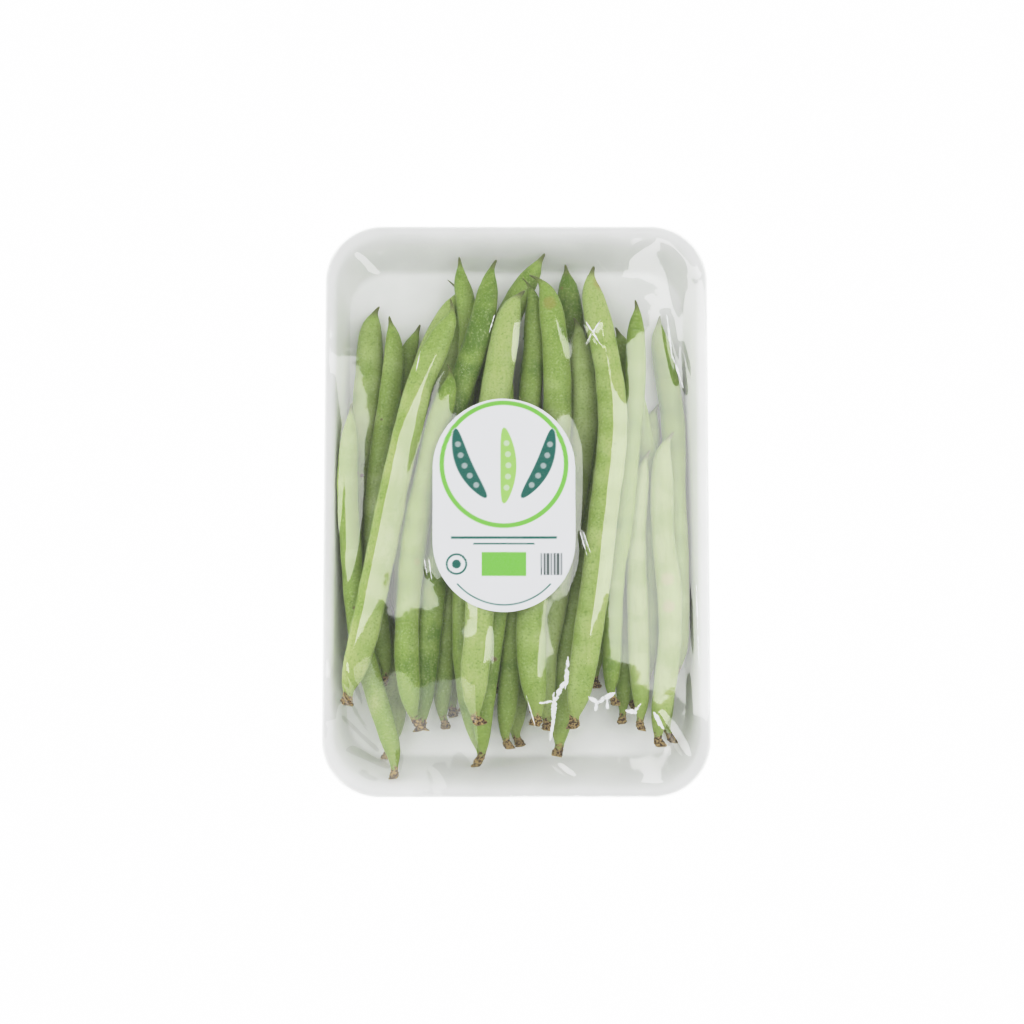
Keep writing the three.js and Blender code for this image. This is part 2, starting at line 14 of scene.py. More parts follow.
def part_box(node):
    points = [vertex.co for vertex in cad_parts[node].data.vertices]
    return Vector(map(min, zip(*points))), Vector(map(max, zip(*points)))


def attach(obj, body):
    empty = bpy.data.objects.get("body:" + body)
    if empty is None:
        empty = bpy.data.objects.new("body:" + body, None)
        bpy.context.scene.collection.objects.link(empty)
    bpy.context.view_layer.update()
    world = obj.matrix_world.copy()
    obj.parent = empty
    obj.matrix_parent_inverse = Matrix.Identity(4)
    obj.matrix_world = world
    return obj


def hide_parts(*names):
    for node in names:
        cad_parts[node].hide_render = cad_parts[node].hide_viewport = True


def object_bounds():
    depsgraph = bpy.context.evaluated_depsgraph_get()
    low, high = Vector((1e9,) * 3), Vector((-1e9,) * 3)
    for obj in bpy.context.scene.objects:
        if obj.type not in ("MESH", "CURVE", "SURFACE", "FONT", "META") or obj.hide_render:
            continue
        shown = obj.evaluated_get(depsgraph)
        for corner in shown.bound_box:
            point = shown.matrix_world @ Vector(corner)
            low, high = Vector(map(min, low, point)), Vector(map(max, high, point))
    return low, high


MM = 0.001
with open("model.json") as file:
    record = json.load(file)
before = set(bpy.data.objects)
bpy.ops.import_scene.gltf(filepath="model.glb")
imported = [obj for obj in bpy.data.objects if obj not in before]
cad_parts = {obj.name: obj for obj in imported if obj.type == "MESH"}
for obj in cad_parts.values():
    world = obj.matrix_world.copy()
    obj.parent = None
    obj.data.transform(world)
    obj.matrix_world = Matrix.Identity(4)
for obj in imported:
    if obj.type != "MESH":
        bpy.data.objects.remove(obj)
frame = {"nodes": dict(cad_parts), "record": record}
cad_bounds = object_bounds()


# Mesh and material helpers

def mesh_piece(name, points, faces, material, stands_for=()):
    """A smooth mesh piece of the object, from points in metres, which rides on the pack's one body."""
    mesh = bpy.data.meshes.new(name)
    corners = faces.tolist() if isinstance(faces, np.ndarray) else faces
    mesh.from_pydata(np.asarray(points).tolist(), [], corners)
    mesh.polygons.foreach_set("use_smooth", np.ones(len(mesh.polygons), dtype=bool))
    mesh.update()
    piece = bpy.data.objects.new(name, mesh)
    bpy.context.scene.collection.objects.link(piece)
    mesh.materials.append(material)
    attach(piece, "root")
    if stands_for:
        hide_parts(*stands_for)
    return piece


def set_attribute(piece, name, values):
    """Stores one number for each of the piece's points, which its material reads by that name."""
    attribute = piece.data.attributes.new(name, "FLOAT", "POINT")
    attribute.data.foreach_set("value", np.asarray(values, dtype=np.float32))


def grid_faces(index):
    """Quads over a grid of point numbers."""
    corners = [index[:-1, :-1], index[:-1, 1:], index[1:, 1:], index[1:, :-1]]
    return np.stack(corners, axis=-1).reshape(-1, 4)


def grid_edge(index):
    """The point numbers round the edge of a grid, as one loop."""
    return np.concatenate([index[0, :-1], index[:-1, -1], index[-1, :0:-1], index[:0:-1, 0]])


def band_faces(upper, lower):
    """Quads between two loops of as many points each."""
    return np.stack([np.roll(upper, -1), upper, lower, np.roll(lower, -1)], axis=1)


def tube_faces(rings, sides):
    """Quads between rings of points, numbered ring by ring."""
    ring, side = np.meshgrid(np.arange(rings - 1), np.arange(sides), indexing="ij")
    a = (ring * sides + side).ravel()
    b = (ring * sides + (side + 1) % sides).ravel()
    return np.stack([a, b, b + sides, a + sides], axis=1)


class Nodes:
    """Builds one material's node tree, one short call for each node."""

    def __init__(self, name):
        self.material = bpy.data.materials.new(name)
        self.material.use_nodes = True
        self.tree = self.material.node_tree
        self.tree.nodes.clear()
        self.output = self.tree.nodes.new("ShaderNodeOutputMaterial")

    def add(self, kind, inputs=(), **settings):
        """Adds a node. inputs is a list of (socket, value or another node's output)."""
        node = self.tree.nodes.new(kind)
        for key, value in settings.items():
            setattr(node, key, value)
        for socket, value in inputs:
            if isinstance(value, bpy.types.NodeSocket):
                self.tree.links.new(value, node.inputs[socket])
            else:
                node.inputs[socket].default_value = value
        return node

    def attribute(self, name):
        return self.add("ShaderNodeAttribute", attribute_name=name).outputs["Fac"]

    def math(self, operation, *values, clamp=False):
        node = self.add("ShaderNodeMath", list(enumerate(values)), operation=operation, use_clamp=clamp)
        return node.outputs[0]

    def vector_math(self, operation, first, second):
        """Works on two vectors. DISTANCE gives a number, and the other operations a vector."""
        node = self.add("ShaderNodeVectorMath", [(0, first), (1, second)], operation=operation)
        return node.outputs["Value" if operation == "DISTANCE" else "Vector"]

    def seen_from_above(self, place):
        """A place's position over the floor in millimetres, with its height left out."""
        return self.vector_math("MULTIPLY", place, (1 / MM, 1 / MM, 0))

    def ramp(self, value, low, high, to_low=0.0, to_high=1.0):
        """Maps a value from low..high to to_low..to_high, smoothly and without going past either."""
        inputs = [("Value", value), ("From Min", low), ("From Max", high)]
        inputs += [("To Min", to_low), ("To Max", to_high)]
        node = self.add("ShaderNodeMapRange", inputs, interpolation_type="SMOOTHSTEP")
        return node.outputs[0]

    def noise(self, place, scale, detail, roughness=0.5):
        inputs = [("Vector", place), ("Scale", scale), ("Detail", detail)]
        inputs.append(("Roughness", roughness))
        return self.add("ShaderNodeTexNoise", inputs).outputs["Fac"]

    def mix(self, share, first, second):
        """Mixes two colours, or values given as colours."""
        node = self.add("ShaderNodeMix", data_type="RGBA")
        for socket, value in ((0, share), (6, first), (7, second)):
            if isinstance(value, bpy.types.NodeSocket):
                self.tree.links.new(value, node.inputs[socket])
            else:
                node.inputs[socket].default_value = value
        return node.outputs[2]

    def bump(self, height, distance, strength, normal=None):
        inputs = [("Height", height), ("Distance", distance), ("Strength", strength)]
        if normal is not None:
            inputs.append(("Normal", normal))
        return self.add("ShaderNodeBump", inputs).outputs["Normal"]

    def finish(self, shader):
        self.tree.links.new(shader, self.output.inputs["Surface"])
        return self.material


# Camera
# The photo looks down on the pack from a little beyond the pods' stalk ends, so that the far end of
# the tray is slightly smaller than the near end. The photo is square.

RIM_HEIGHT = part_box("foam_tray")[1][2]
FRAME_WIDTH = 0.3753
CAMERA_DISTANCE = 0.62
CAMERA_TILT = math.radians(4.2)
AIM = Vector((-0.0016, -0.0014, RIM_HEIGHT))
SENSOR_WIDTH = 36.0

camera_data = bpy.data.cameras.new("camera")
camera_data.sensor_width = SENSOR_WIDTH
camera_data.lens = SENSOR_WIDTH * CAMERA_DISTANCE / FRAME_WIDTH
camera = bpy.data.objects.new("camera", camera_data)
bpy.context.scene.collection.objects.link(camera)
camera.location = AIM + CAMERA_DISTANCE * Vector((0, -math.sin(CAMERA_TILT), math.cos(CAMERA_TILT)))
camera.rotation_euler = (CAMERA_TILT, 0, 0)
bpy.context.scene.camera = camera


# Foam tray
# A shallow tray pressed from one sheet of white polystyrene foam about 3 mm thick. Its walls slope
# out to a rolled lip, and its skin is matt with the faint grain of foam cells.

TRAY_LOW, TRAY_HIGH = (Vector(corner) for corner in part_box("foam_tray"))
FOAM = 3.0 * MM
LIP = 3.5 * MM
SIDE_RUN = 3.5 * MM
END_RUN = 10 * MM
WALL_CURVE = 1.5
RIM_CORNER = 21 * MM
FLOOR_CORNER = 15 * MM
TRAY_CORNER_STEPS = 16
TRAY_STRAIGHT_STEPS = 24
LIP_DROP = 5 * MM
ROLL_RADIUS = 1.65 * MM
ROLL_CENTRE = (1.6 * MM, 1.7 * MM)


def rounded_ring(half_x, half_y, radius, z):
    """A level rounded rectangle, anticlockwise from its right side."""
    ring = []
    corners = ((1, 1, 0), (-1, 1, 1), (-1, -1, 2), (1, -1, 3))
    for sx, sy, turn in corners:
        centre = Vector((sx * (half_x - radius), sy * (half_y - radius), z))
        for step in range(TRAY_CORNER_STEPS):
            angle = (turn + step / (TRAY_CORNER_STEPS - 1)) * math.pi / 2
            ring.append(centre + radius * Vector((math.cos(angle), math.sin(angle), 0)))
    spaced = []
    for i, point in enumerate(ring):
        spaced.append(point)
        if (i + 1) % TRAY_CORNER_STEPS == 0:
            following = ring[(i + 1) % len(ring)]
            shares = [k / TRAY_STRAIGHT_STEPS for k in range(1, TRAY_STRAIGHT_STEPS)]
            spaced += [point.lerp(following, share) for share in shares]
    return spaced


def tray_ring(side_inset, end_inset, z):
    """A level ring of the tray, set in from the rim by a margin at the sides and one at the ends."""
    half_x = TRAY_HIGH.x - side_inset
    half_y = TRAY_HIGH.y - end_inset
    corner_share = end_inset / (LIP + END_RUN)
    return rounded_ring(half_x, half_y, RIM_CORNER - (RIM_CORNER - FLOOR_CORNER) * corner_share, z)


def tray_wall(share, thickness):
    """How far a point of the wall is in from the rim at the sides and ends. Share 1 is the floor."""
    return LIP + SIDE_RUN * share - thickness, LIP + END_RUN * share - thickness


def wall_level(low, high, share):
    """The height of a point of the wall, which is steepest at the floor, where its share is 1."""
    return low + (high - low) * (1 - share ** WALL_CURVE)


def make_tray():
    """Rings from the middle of the base, up the outer wall, over the rolled lip and down to the floor."""
    base = TRAY_LOW.z
    rim = TRAY_HIGH.z
    floor = base + FOAM
    rings = [tray_ring(40 * MM, 40 * MM, base), tray_ring(12 * MM, 20 * MM, base)]
    rings.append(tray_ring(*tray_wall(1, FOAM - 1.8 * MM), base))
    rings.append(tray_ring(*tray_wall(1, FOAM - 0.4 * MM), base + 0.4 * MM))
    rings.append(tray_ring(*tray_wall(0.97, FOAM), base + 1.6 * MM))
    for share in (0.93, 0.85, 0.7, 0.5, 0.3, 0.12):
        rings.append(tray_ring(*tray_wall(share, FOAM), wall_level(base, rim - LIP_DROP, share)))
    rings.append(tray_ring(*tray_wall(0, FOAM - 1 * MM), rim - LIP_DROP))
    rings.append(tray_ring(0.6 * MM, 0.6 * MM, rim - LIP_DROP + 1 * MM))
    for degrees in (235, 205, 180, 155, 130, 110, 90):
        angle = math.radians(degrees)
        inset = ROLL_CENTRE[0] + ROLL_RADIUS * math.cos(angle)
        level = rim - ROLL_CENTRE[1] + ROLL_RADIUS * math.sin(angle)
        rings.append(tray_ring(inset, inset, level))
    rings.append(tray_ring(2.6 * MM, 2.6 * MM, rim - 0.12 * MM))
    rings.append(tray_ring(3.3 * MM, 3.5 * MM, rim - 0.7 * MM))
    for share in (0.05, 0.15, 0.3, 0.5, 0.7, 0.85, 0.94):
        rings.append(tray_ring(*tray_wall(share, 0), wall_level(floor, rim - 0.8 * MM, share)))
    rings.append(tray_ring(*tray_wall(1.0, 0), floor + 0.7 * MM))
    rings.append(tray_ring(*tray_wall(1.08, 0), floor + 0.15 * MM))
    rings.append(tray_ring(*tray_wall(1.2, 0), floor))
    rings.append(tray_ring(24 * MM, 32 * MM, floor))
    rings.append(tray_ring(40 * MM, 40 * MM, floor))
    points = [point for ring in rings for point in ring]
    count = len(rings[0])
    faces = tube_faces(len(rings), count).tolist()
    last = (len(rings) - 1) * count
    faces.append(list(range(count))[::-1])
    faces.append(list(range(last, last + count)))
    return mesh_piece("tray", points, faces, make_foam_material(), ["foam_tray"])


def make_foam_material():
    """White polystyrene foam: pressed cells a millimetre or so across under a thin, matt skin."""
    n = Nodes("foam")
    place = n.add("ShaderNodeTexCoord").outputs["Object"]
    cells = n.add("ShaderNodeTexVoronoi", [("Vector", place), ("Scale", 750.0)], feature="SMOOTH_F1")
    uneven = n.noise(place, 60.0, 4)
    tint = n.mix(n.ramp(uneven, 0.35, 0.7), (0.86, 0.87, 0.86, 1), (0.93, 0.935, 0.93, 1))
    pores = n.ramp(cells.outputs["Distance"], 0.0, 0.35)
    colour = n.mix(n.math("MULTIPLY", pores, 0.06), tint, (0.72, 0.74, 0.73, 1))
    normal = n.bump(uneven, 0.5 * MM, 0.25)
    normal = n.bump(cells.outputs["Distance"], 0.12 * MM, 0.5, normal)
    skin = n.add("ShaderNodeBsdfPrincipled", [
        ("Base Color", colour), ("Roughness", 0.55), ("Normal", normal),
        ("Subsurface Weight", 0.1), ("Subsurface Radius", (0.9, 0.9, 0.9)), ("Subsurface Scale", 0.6 * MM),
        ("Sheen Weight", 0.05)])
    return n.finish(skin.outputs[0])


make_tray()


# Pods
# Fresh green bean pods, each picked with its thin curved tip and the woody stub of its stalk. A pod is
# a flattened tube with a seam along each edge, swollen a little over each seed, and its skin is satin.

POD_SIDES = 24
WIDTH_PERCENTILE = 92
POD_STEP = 1.3 * MM
END_STEP = 0.35 * MM
FINE_END = 9 * MM
# How full a pod is at a distance from its end, in millimetres: two tips to mix, and the stalk end.
SLIM_TIP = ((0, 0.05), (0.5, 0.1), (2, 0.15), (3.6, 0.2), (5.5, 0.34), (8, 0.54), (12, 0.76),
            (19, 0.92), (30, 1))
BLUNT_TIP = ((0, 0.05), (0.5, 0.1), (1.6, 0.15), (3, 0.25), (4.5, 0.45), (7, 0.69), (11, 0.87),
             (18, 0.97), (28, 1))
STALK_TAPER = ((0, 0.3), (0.4, 0.38), (1.6, 0.39), (3.2, 0.31), (4.6, 0.32), (5.8, 0.42), (7.8, 0.56),
               (10.5, 0.73), (15, 0.88), (25, 1))
BEAK = 7 * MM
BEAK_CURL = 2.2 * MM
SEED_PITCH = 12.5 * MM
SEED_SWELL = 0.065
WAIST = 0.12
SIDE_WANDER = 0.65 * MM
BODY_FROM_TIP = 14 * MM
BODY_FROM_STALK = 12 * MM
BODY_BLEND = 12 * MM
SEAM_RIDGE = 0.025
SEAM_SHARPNESS = 0.22
CALYX_PLACE = 4.4 * MM
CALYX_REACH = 1.2 * MM
CALYX_LOBES = 0.15
BARK_REACH = 4 * MM
BARK_ROUGHNESS = 0.22
# A solid pod has ten sides, so its height is this share of a round pod's.
POLYGON_HEIGHT = math.sin(math.radians(72))
random = np.random.default_rng(7)


def smoothed(values, reach):
    """Values averaged over a bell of that many samples, with both ends held."""
    kernel = np.exp(-0.5 * (np.arange(-3 * reach, 3 * reach + 1) / reach) ** 2)
    kernel /= kernel.sum()
    start = 2 * values[0] - values[3 * reach:0:-1]
    end = 2 * values[-1] - values[-2:-3 * reach - 2:-1]
    return np.convolve(np.concatenate([start, values, end]), kernel, mode="valid")


def pod_line(node):
    """A pod's centre line from tip to stalk, evenly spaced, with its half-width and half-height.

    The pods all run along the tray, so a solid's slices across the tray give its centre line."""
    mesh = frame["nodes"][node].data
    points = np.empty(len(mesh.vertices) * 3)
    mesh.vertices.foreach_get("co", points)
    points = points.reshape(-1, 3)
    ends = np.empty(len(mesh.edges) * 2, dtype=int)
    mesh.edges.foreach_get("vertices", ends)
    a, b = points[ends.reshape(-1, 2)].transpose(1, 0, 2)
    tip = points[points[:, 1].argmax()]
    stalk = points[points[:, 1].argmin()]
    rows = []
    for y in np.arange(tip[1] - 1 * MM, stalk[1] + 1 * MM, -1 * MM):
        crossing = (a[:, 1] - y) * (b[:, 1] - y) < 0
        share = ((y - a[crossing, 1]) / (b[crossing, 1] - a[crossing, 1]))[:, None]
        cut = a[crossing] + share * (b[crossing] - a[crossing])
        low, high = cut.min(axis=0), cut.max(axis=0)
        rows.append([*(low + high) / 2, (high[0] - low[0]) / 2, (high[2] - low[2]) / 2])
    rows = np.array([[*tip, 0, 0], *rows, [*stalk, 0, 0]])
    centre = np.stack([smoothed(rows[:, k], 4) for k in range(3)], axis=1)
    centre[0], centre[-1] = tip, stalk
    steps = np.linalg.norm(np.diff(centre, axis=0), axis=1)
    along = np.concatenate([[0], np.cumsum(steps)])
    level_step = np.hypot(*np.gradient(centre[:, :2], axis=0).T)
    slant = np.gradient(centre[:, 1]) / np.maximum(level_step, 1e-9)
    width = np.percentile(rows[:, 3] * np.abs(slant), WIDTH_PERCENTILE)
    height = np.percentile(rows[:, 4], WIDTH_PERCENTILE) / POLYGON_HEIGHT
    return centre, along, width, height


def taper(table, distance):
    return np.interp(distance / MM, [d for d, _ in table], [share for _, share in table])


def make_pod(node, material):
    """One pod: rings across its centre line, with seams, seed swellings, a beak and a stalk stub."""
    centre, along, width, height = pod_line(node)
    length = along[-1]
    fine = np.arange(0, FINE_END, END_STEP)
    body = np.linspace(FINE_END, length - FINE_END, max(2, int((length - 2 * FINE_END) / POD_STEP)))
    place = np.concatenate([fine, body, length - fine[::-1]])
    middle = np.stack([np.interp(place, along, centre[:, k]) for k in range(3)], axis=1)
    forward = np.gradient(middle, place, axis=0)
    forward /= np.linalg.norm(forward, axis=1)[:, None]
    side = np.stack([forward[:, 1], -forward[:, 0], np.zeros(len(place))], axis=1)
    side /= np.linalg.norm(side, axis=1)[:, None]
    up = np.cross(side, forward)
    blunt, curl = random.uniform(0, 1), random.uniform(-1, 1)
    tip_taper = (1 - blunt) * taper(SLIM_TIP, place) + blunt * taper(BLUNT_TIP, place)
    share = np.minimum(tip_taper, taper(STALK_TAPER, length - place))
    wander = smoothed(random.normal(0, 1, len(place)), 9) * 3 * SIDE_WANDER
    wander += curl * BEAK_CURL * np.clip(1 - place / BEAK, 0, 1) ** 2
    middle = middle + wander[:, None] * side
    phase, roll = random.uniform(0, 2 * math.pi), random.uniform(-0.4, 0.4)
    pitch = SEED_PITCH * random.uniform(0.85, 1.15)
    wobble = smoothed(random.normal(0, 1, len(place)), 8)
    past_tip = np.clip((place - BODY_FROM_TIP) / BODY_BLEND, 0, 1)
    before_stalk = np.clip((length - place - BODY_FROM_STALK) / BODY_BLEND, 0, 1)
    in_body = past_tip * before_stalk
    swell = np.sin(2 * math.pi * place / pitch + phase + 2 * wobble)
    waist = np.clip(smoothed(random.normal(0, 1, len(place)), 6) * 4, 0, 1.5)
    turn = np.arange(POD_SIDES) / POD_SIDES * 2 * math.pi
    around, row = np.meshgrid(turn, np.arange(len(place)))
    off_seam = np.abs(np.sin(around - roll))
    radius = share[row] * (1 + SEED_SWELL * swell[row] * in_body[row] * off_seam)
    radius *= 1 - WAIST * (waist * in_body)[row] * (0.5 + 0.5 * np.cos(around + 3 * phase))
    radius *= 1 + SEAM_RIDGE * np.exp(-(np.sin(around - roll) / SEAM_SHARPNESS) ** 2) * in_body[row]
    from_stalk = (length - place)[row]
    calyx = np.exp(-((from_stalk - CALYX_PLACE) / CALYX_REACH) ** 2)
    radius *= 1 + CALYX_LOBES * calyx * np.sin(5 * around + phase)
    woody = np.clip(1.25 - from_stalk / BARK_REACH, 0, 1)
    radius *= 1 + woody * BARK_ROUGHNESS * np.sin(3 * around + 900 * from_stalk + 2 * phase)
    radius *= 1 + woody * random.uniform(-BARK_ROUGHNESS, BARK_ROUGHNESS, radius.shape)
    points = middle[row] + (width * radius * np.cos(around))[..., None] * side[row]
    points = points + (height * radius * np.sin(around))[..., None] * up[row]
    rings = points.reshape(-1, 3)
    points = np.concatenate([rings, middle[:1], middle[-1:]])
    faces = tube_faces(len(place), POD_SIDES).tolist()
    tip, end, last = len(rings), len(rings) + 1, len(rings) - POD_SIDES
    faces += [[tip, (i + 1) % POD_SIDES, i] for i in range(POD_SIDES)]
    faces += [[end, last + i, last + (i + 1) % POD_SIDES] for i in range(POD_SIDES)]
    piece = mesh_piece(node.replace("pod_", "bean_"), points, faces, material, [node])

    def repeat(values):
        """One value for each ring, given to all of its points and to the two end points."""
        return np.append(np.repeat(values, POD_SIDES), [values[0], values[-1]])

    set_attribute(piece, "from_tip", repeat(place / MM))
    set_attribute(piece, "from_stalk", repeat((length - place) / MM))
    set_attribute(piece, "tone", np.full(len(points), pod_tone(node)))
    set_attribute(piece, "seam", np.append((np.sin(around - roll)).ravel(), [0.5, 0.5]))
    set_attribute(piece, "seed", repeat(swell * in_body))
    return piece


slot_of = {entry["node"]: entry["material_slot"] for entry in frame["record"]["subparts"]}
TONES = {"pod_dark": 0.12, "pod_mid": 0.5, "pod_pale": 0.85}


def pod_tone(node):
    """How pale a pod is, from 0 to 1: its slot's own paleness and a little of its own."""
    return TONES[slot_of[node]] + random.uniform(-0.12, 0.12)


DARK_SKIN = (0.12, 0.225, 0.02, 1)
MID_SKIN = (0.25, 0.365, 0.065, 1)
PALE_SKIN = (0.40, 0.50, 0.18, 1)

# Blemishes that show: a middle seen from above and a radius, in millimetres, a strength and a colour.
BROWN = (0.16, 0.10, 0.04, 1)
YELLOW_BROWN = (0.36, 0.27, 0.07, 1)
PINK = (0.55, 0.40, 0.27, 1)
BLEMISHES = [
    ((-8.2, -55.2), 1.3, 0.85, BROWN), ((-50, 33.5), 0.7, 0.8, BROWN), ((-57.7, 13), 0.9, 0.8, BROWN),
    ((-56.6, 4.2), 0.6, 0.7, BROWN), ((-59.2, -36.5), 0.6, 0.7, BROWN),
    ((12.3, 75.7), 3.2, 0.45, YELLOW_BROWN), ((31.3, 83.7), 3.6, 0.55, YELLOW_BROWN),
    ((35, 77.5), 2.4, 0.5, YELLOW_BROWN), ((55.2, -26), 3.2, 0.4, PINK), ((55.5, -36), 3.0, 0.45, PINK),
    ((-36, -20), 1.6, 0.3, YELLOW_BROWN), ((-42, 44), 2.2, 0.35, YELLOW_BROWN),
]


def make_pod_material():
    """Bean skin: satin green, finely mottled and streaked, paler over the seeds, brown at both ends."""
    n = Nodes("pod_skin")
    place = n.add("ShaderNodeTexCoord").outputs["Object"]
    tone = n.attribute("tone")
    from_tip = n.attribute("from_tip")
    from_stalk = n.attribute("from_stalk")
    seam = n.attribute("seam")
    stretched = n.add("ShaderNodeMapping", [("Vector", place), ("Scale", (1.0, 0.12, 1.0))]).outputs[0]
    cloud = n.noise(place, 48.0, 4, 0.6)
    patch = n.noise(place, 130.0, 3, 0.6)
    streak = n.noise(stretched, 900.0, 3, 0.6)
    fleck = n.noise(place, 1250.0, 2, 0.7)
    paleness = n.math("ADD", tone, n.ramp(cloud, 0.3, 0.7, -0.24, 0.24))
    paleness = n.math("ADD", paleness, n.ramp(patch, 0.3, 0.7, -0.08, 0.08))
    paleness = n.math("ADD", paleness, n.math("MULTIPLY", n.attribute("seed"), 0.08))
    colour = n.mix(n.ramp(paleness, 0.0, 0.5), DARK_SKIN, MID_SKIN)
    colour = n.mix(n.ramp(paleness, 0.5, 1.0), colour, PALE_SKIN)
    colour = n.mix(n.ramp(streak, 0.42, 0.68, 0, 0.4), colour, (0.29, 0.40, 0.09, 1))
    colour = n.mix(n.ramp(fleck, 0.52, 0.72, 0, 0.55), colour, (0.46, 0.55, 0.25, 1))
    colour = n.mix(n.ramp(fleck, 0.30, 0.46, 0.5, 0), colour, (0.11, 0.20, 0.02, 1))
    # Painted shade: the skin is darkened along its two side seams, at the pod's edges. The seam's bump
    # below is real.
    edge = n.ramp(n.math("ABSOLUTE", seam), 0.0, 0.12, 1, 0)
    colour = n.mix(n.math("MULTIPLY", edge, 0.4), colour, (0.10, 0.19, 0.02, 1))
    scar = n.add("ShaderNodeTexVoronoi", [("Vector", place), ("Scale", 55.0), ("Randomness", 1.0)])
    chance = n.add("ShaderNodeSeparateColor", [("Color", scar.outputs["Color"])]).outputs[0]
    near_scar = n.ramp(scar.outputs["Distance"], 0.02, 0.05, 1, 0)
    spot = n.math("MULTIPLY", near_scar, n.ramp(chance, 0.86, 0.88))
    colour = n.mix(n.math("MULTIPLY", spot, 0.7), colour, (0.26, 0.20, 0.06, 1))
    ground = n.seen_from_above(place)
    blur = n.math("MULTIPLY", n.math("SUBTRACT", n.noise(place, 900.0, 3), 0.5), 1.4)
    for (x, y), radius, strength, stain in BLEMISHES:
        off = n.math("ADD", n.vector_math("DISTANCE", ground, (x, y, 0)), blur)
        inside = n.ramp(off, 0.45 * radius, radius, strength, 0)
        colour = n.mix(inside, colour, stain)
    near_stalk = n.ramp(from_stalk, 3.5, 16.0, 0.45, 0)
    colour = n.mix(near_stalk, colour, (0.22, 0.29, 0.05, 1))
    ragged = n.math("ADD", from_stalk, n.ramp(n.noise(place, 700.0, 2), 0.2, 0.8, -1.4, 1.4))
    flaky = n.ramp(n.noise(place, 1300.0, 3), 0.4, 0.6)
    bark = n.mix(flaky, (0.05, 0.025, 0.012, 1), (0.40, 0.29, 0.12, 1))
    woody = n.ramp(ragged, 3.2, 4.8, 1, 0)
    colour = n.mix(woody, colour, bark)
    cut = n.ramp(from_stalk, 0.05, 0.4, 1, 0)
    colour = n.mix(n.math("MULTIPLY", cut, 0.6), colour, (0.42, 0.34, 0.18, 1))
    colour = n.mix(n.ramp(from_tip, 1.0, 5.5, 0.85, 0), colour, (0.10, 0.10, 0.035, 1))
    bumps = n.math("ADD", n.math("MULTIPLY", fleck, 0.5), n.math("MULTIPLY", streak, 0.8))
    normal = n.bump(bumps, 0.12 * MM, 0.35)
    normal = n.bump(edge, 0.25 * MM, 0.5, normal)
    roughness = n.ramp(woody, 0.0, 1.0, 0.42, 0.85)
    skin = n.add("ShaderNodeBsdfPrincipled", [
        ("Base Color", colour), ("Roughness", roughness), ("Normal", normal), ("IOR", 1.4),
        ("Subsurface Weight", 0.18), ("Subsurface Radius", (0.8, 1.0, 0.3)), ("Subsurface Scale", 1.2 * MM),
        ("Sheen Weight", 0.12), ("Sheen Roughness", 0.4)])
    return n.finish(skin.outputs[0])


pod_material = make_pod_material()
pod_nodes = sorted(name for name in frame["nodes"] if name.startswith("pod_"))
pods = [make_pod(name, pod_material) for name in pod_nodes]


# Stretch film
# One sheet of clear cling film, drawn tight over the pods and the tray's rim, down its walls and
# folded under its base. It is far too thin to see: only its reflections, its creases and the white
# highlights painted on its folds show.

FILM_CLEARANCE = 1.2 * MM
RIM_CLEARANCE = 0.45 * MM
RIM_ROUND = 1.2 * MM
RIM_FALL = 0.45
EASE_ACROSS = 1.1 * MM
EASE_ALONG = 3.0 * MM
CLING_DEPTH = 3 * MM
CLING_REACH = 2 * MM
CLING_MARGIN = 7 * MM
GRID = 0.6 * MM
FILM_OUT = 0.7 * MM
FILM_COLUMNS = 220
FILM_ROWS = 330
HEM = 34 * MM
FILM_OFF_LIP = 3.6 * MM
FILM_OFF_WALL = 0.4 * MM
UNDER_BASE = 0.1 * MM
FILM_SHINE = 2.9
# The film's shading follows a tighter sheet than the heap allows. Its slopes are a share of the mesh's:
# one share on the left, and on the right one for slopes that rise outwards and one for those that fall.
# It also leans down to each side, by a slope that is reached at a distance out.
TAUT_LEFT = 0.43
TAUT_RIGHT = (0.3, 0.4)
TAUT_ALONG = 0.5
LEAN_LEFT = (0.18, 35 * MM)
LEAN_RIGHT = (0.05, 50 * MM)
LEAN_END = 90 * MM
SHADING_BLEND = 20 * MM
GRID_HALF = (TRAY_HIGH.x + FILM_OUT, TRAY_HIGH.y + FILM_OUT)
label_low, label_high = (Vector(corner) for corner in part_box("label"))
LABEL_CENTRE = (label_low + label_high) / 2
LABEL_HALF = tuple((label_high - label_low) / 2)[:2]
# Each crease of the film: its two ends, seen from above, its height and its width, in millimetres.
CREASES = [
    ((24.5, 69.5), (31.5, 58), 0.55, 0.8), ((31.5, 69.5), (24, 59), 0.55, 0.8),
    ((55, 74), (60.5, 44), 1.0, 1.6), ((61, 62), (64, 40), 0.7, 1.4),
    ((-31.5, -18), (-30, -27), 0.35, 0.7), ((-33.5, -18), (-32, -26), 0.3, 0.7),
    ((22.5, -8), (26, -19), 0.35, 0.8), ((52, -74), (63, -93), 0.8, 1.3),
    ((-64, -52), (-54, -78), 0.5, 1.3), ((-66, -62), (-52, -86), 0.5, 1.3),
    ((-66, -74), (-49, -91), 0.5, 1.3), ((-62, -88), (-45, -96), 0.5, 1.4),
    ((12, -92), (22, -99), 0.5, 1.3), ((-30, -93), (-24, -101), 0.4, 1.2),
    ((64, -20), (65.5, -60), 0.4, 1.0), ((65.5, 10), (66, -30), 0.35, 0.9),
    ((63.5, -58), (65, -90), 0.45, 1.1), ((-65, 30), (-66, -20), 0.35, 1.0),
    ((40, 92), (52, 99), 0.5, 1.4), ((-50, 88), (-60, 97), 0.5, 1.4),
]
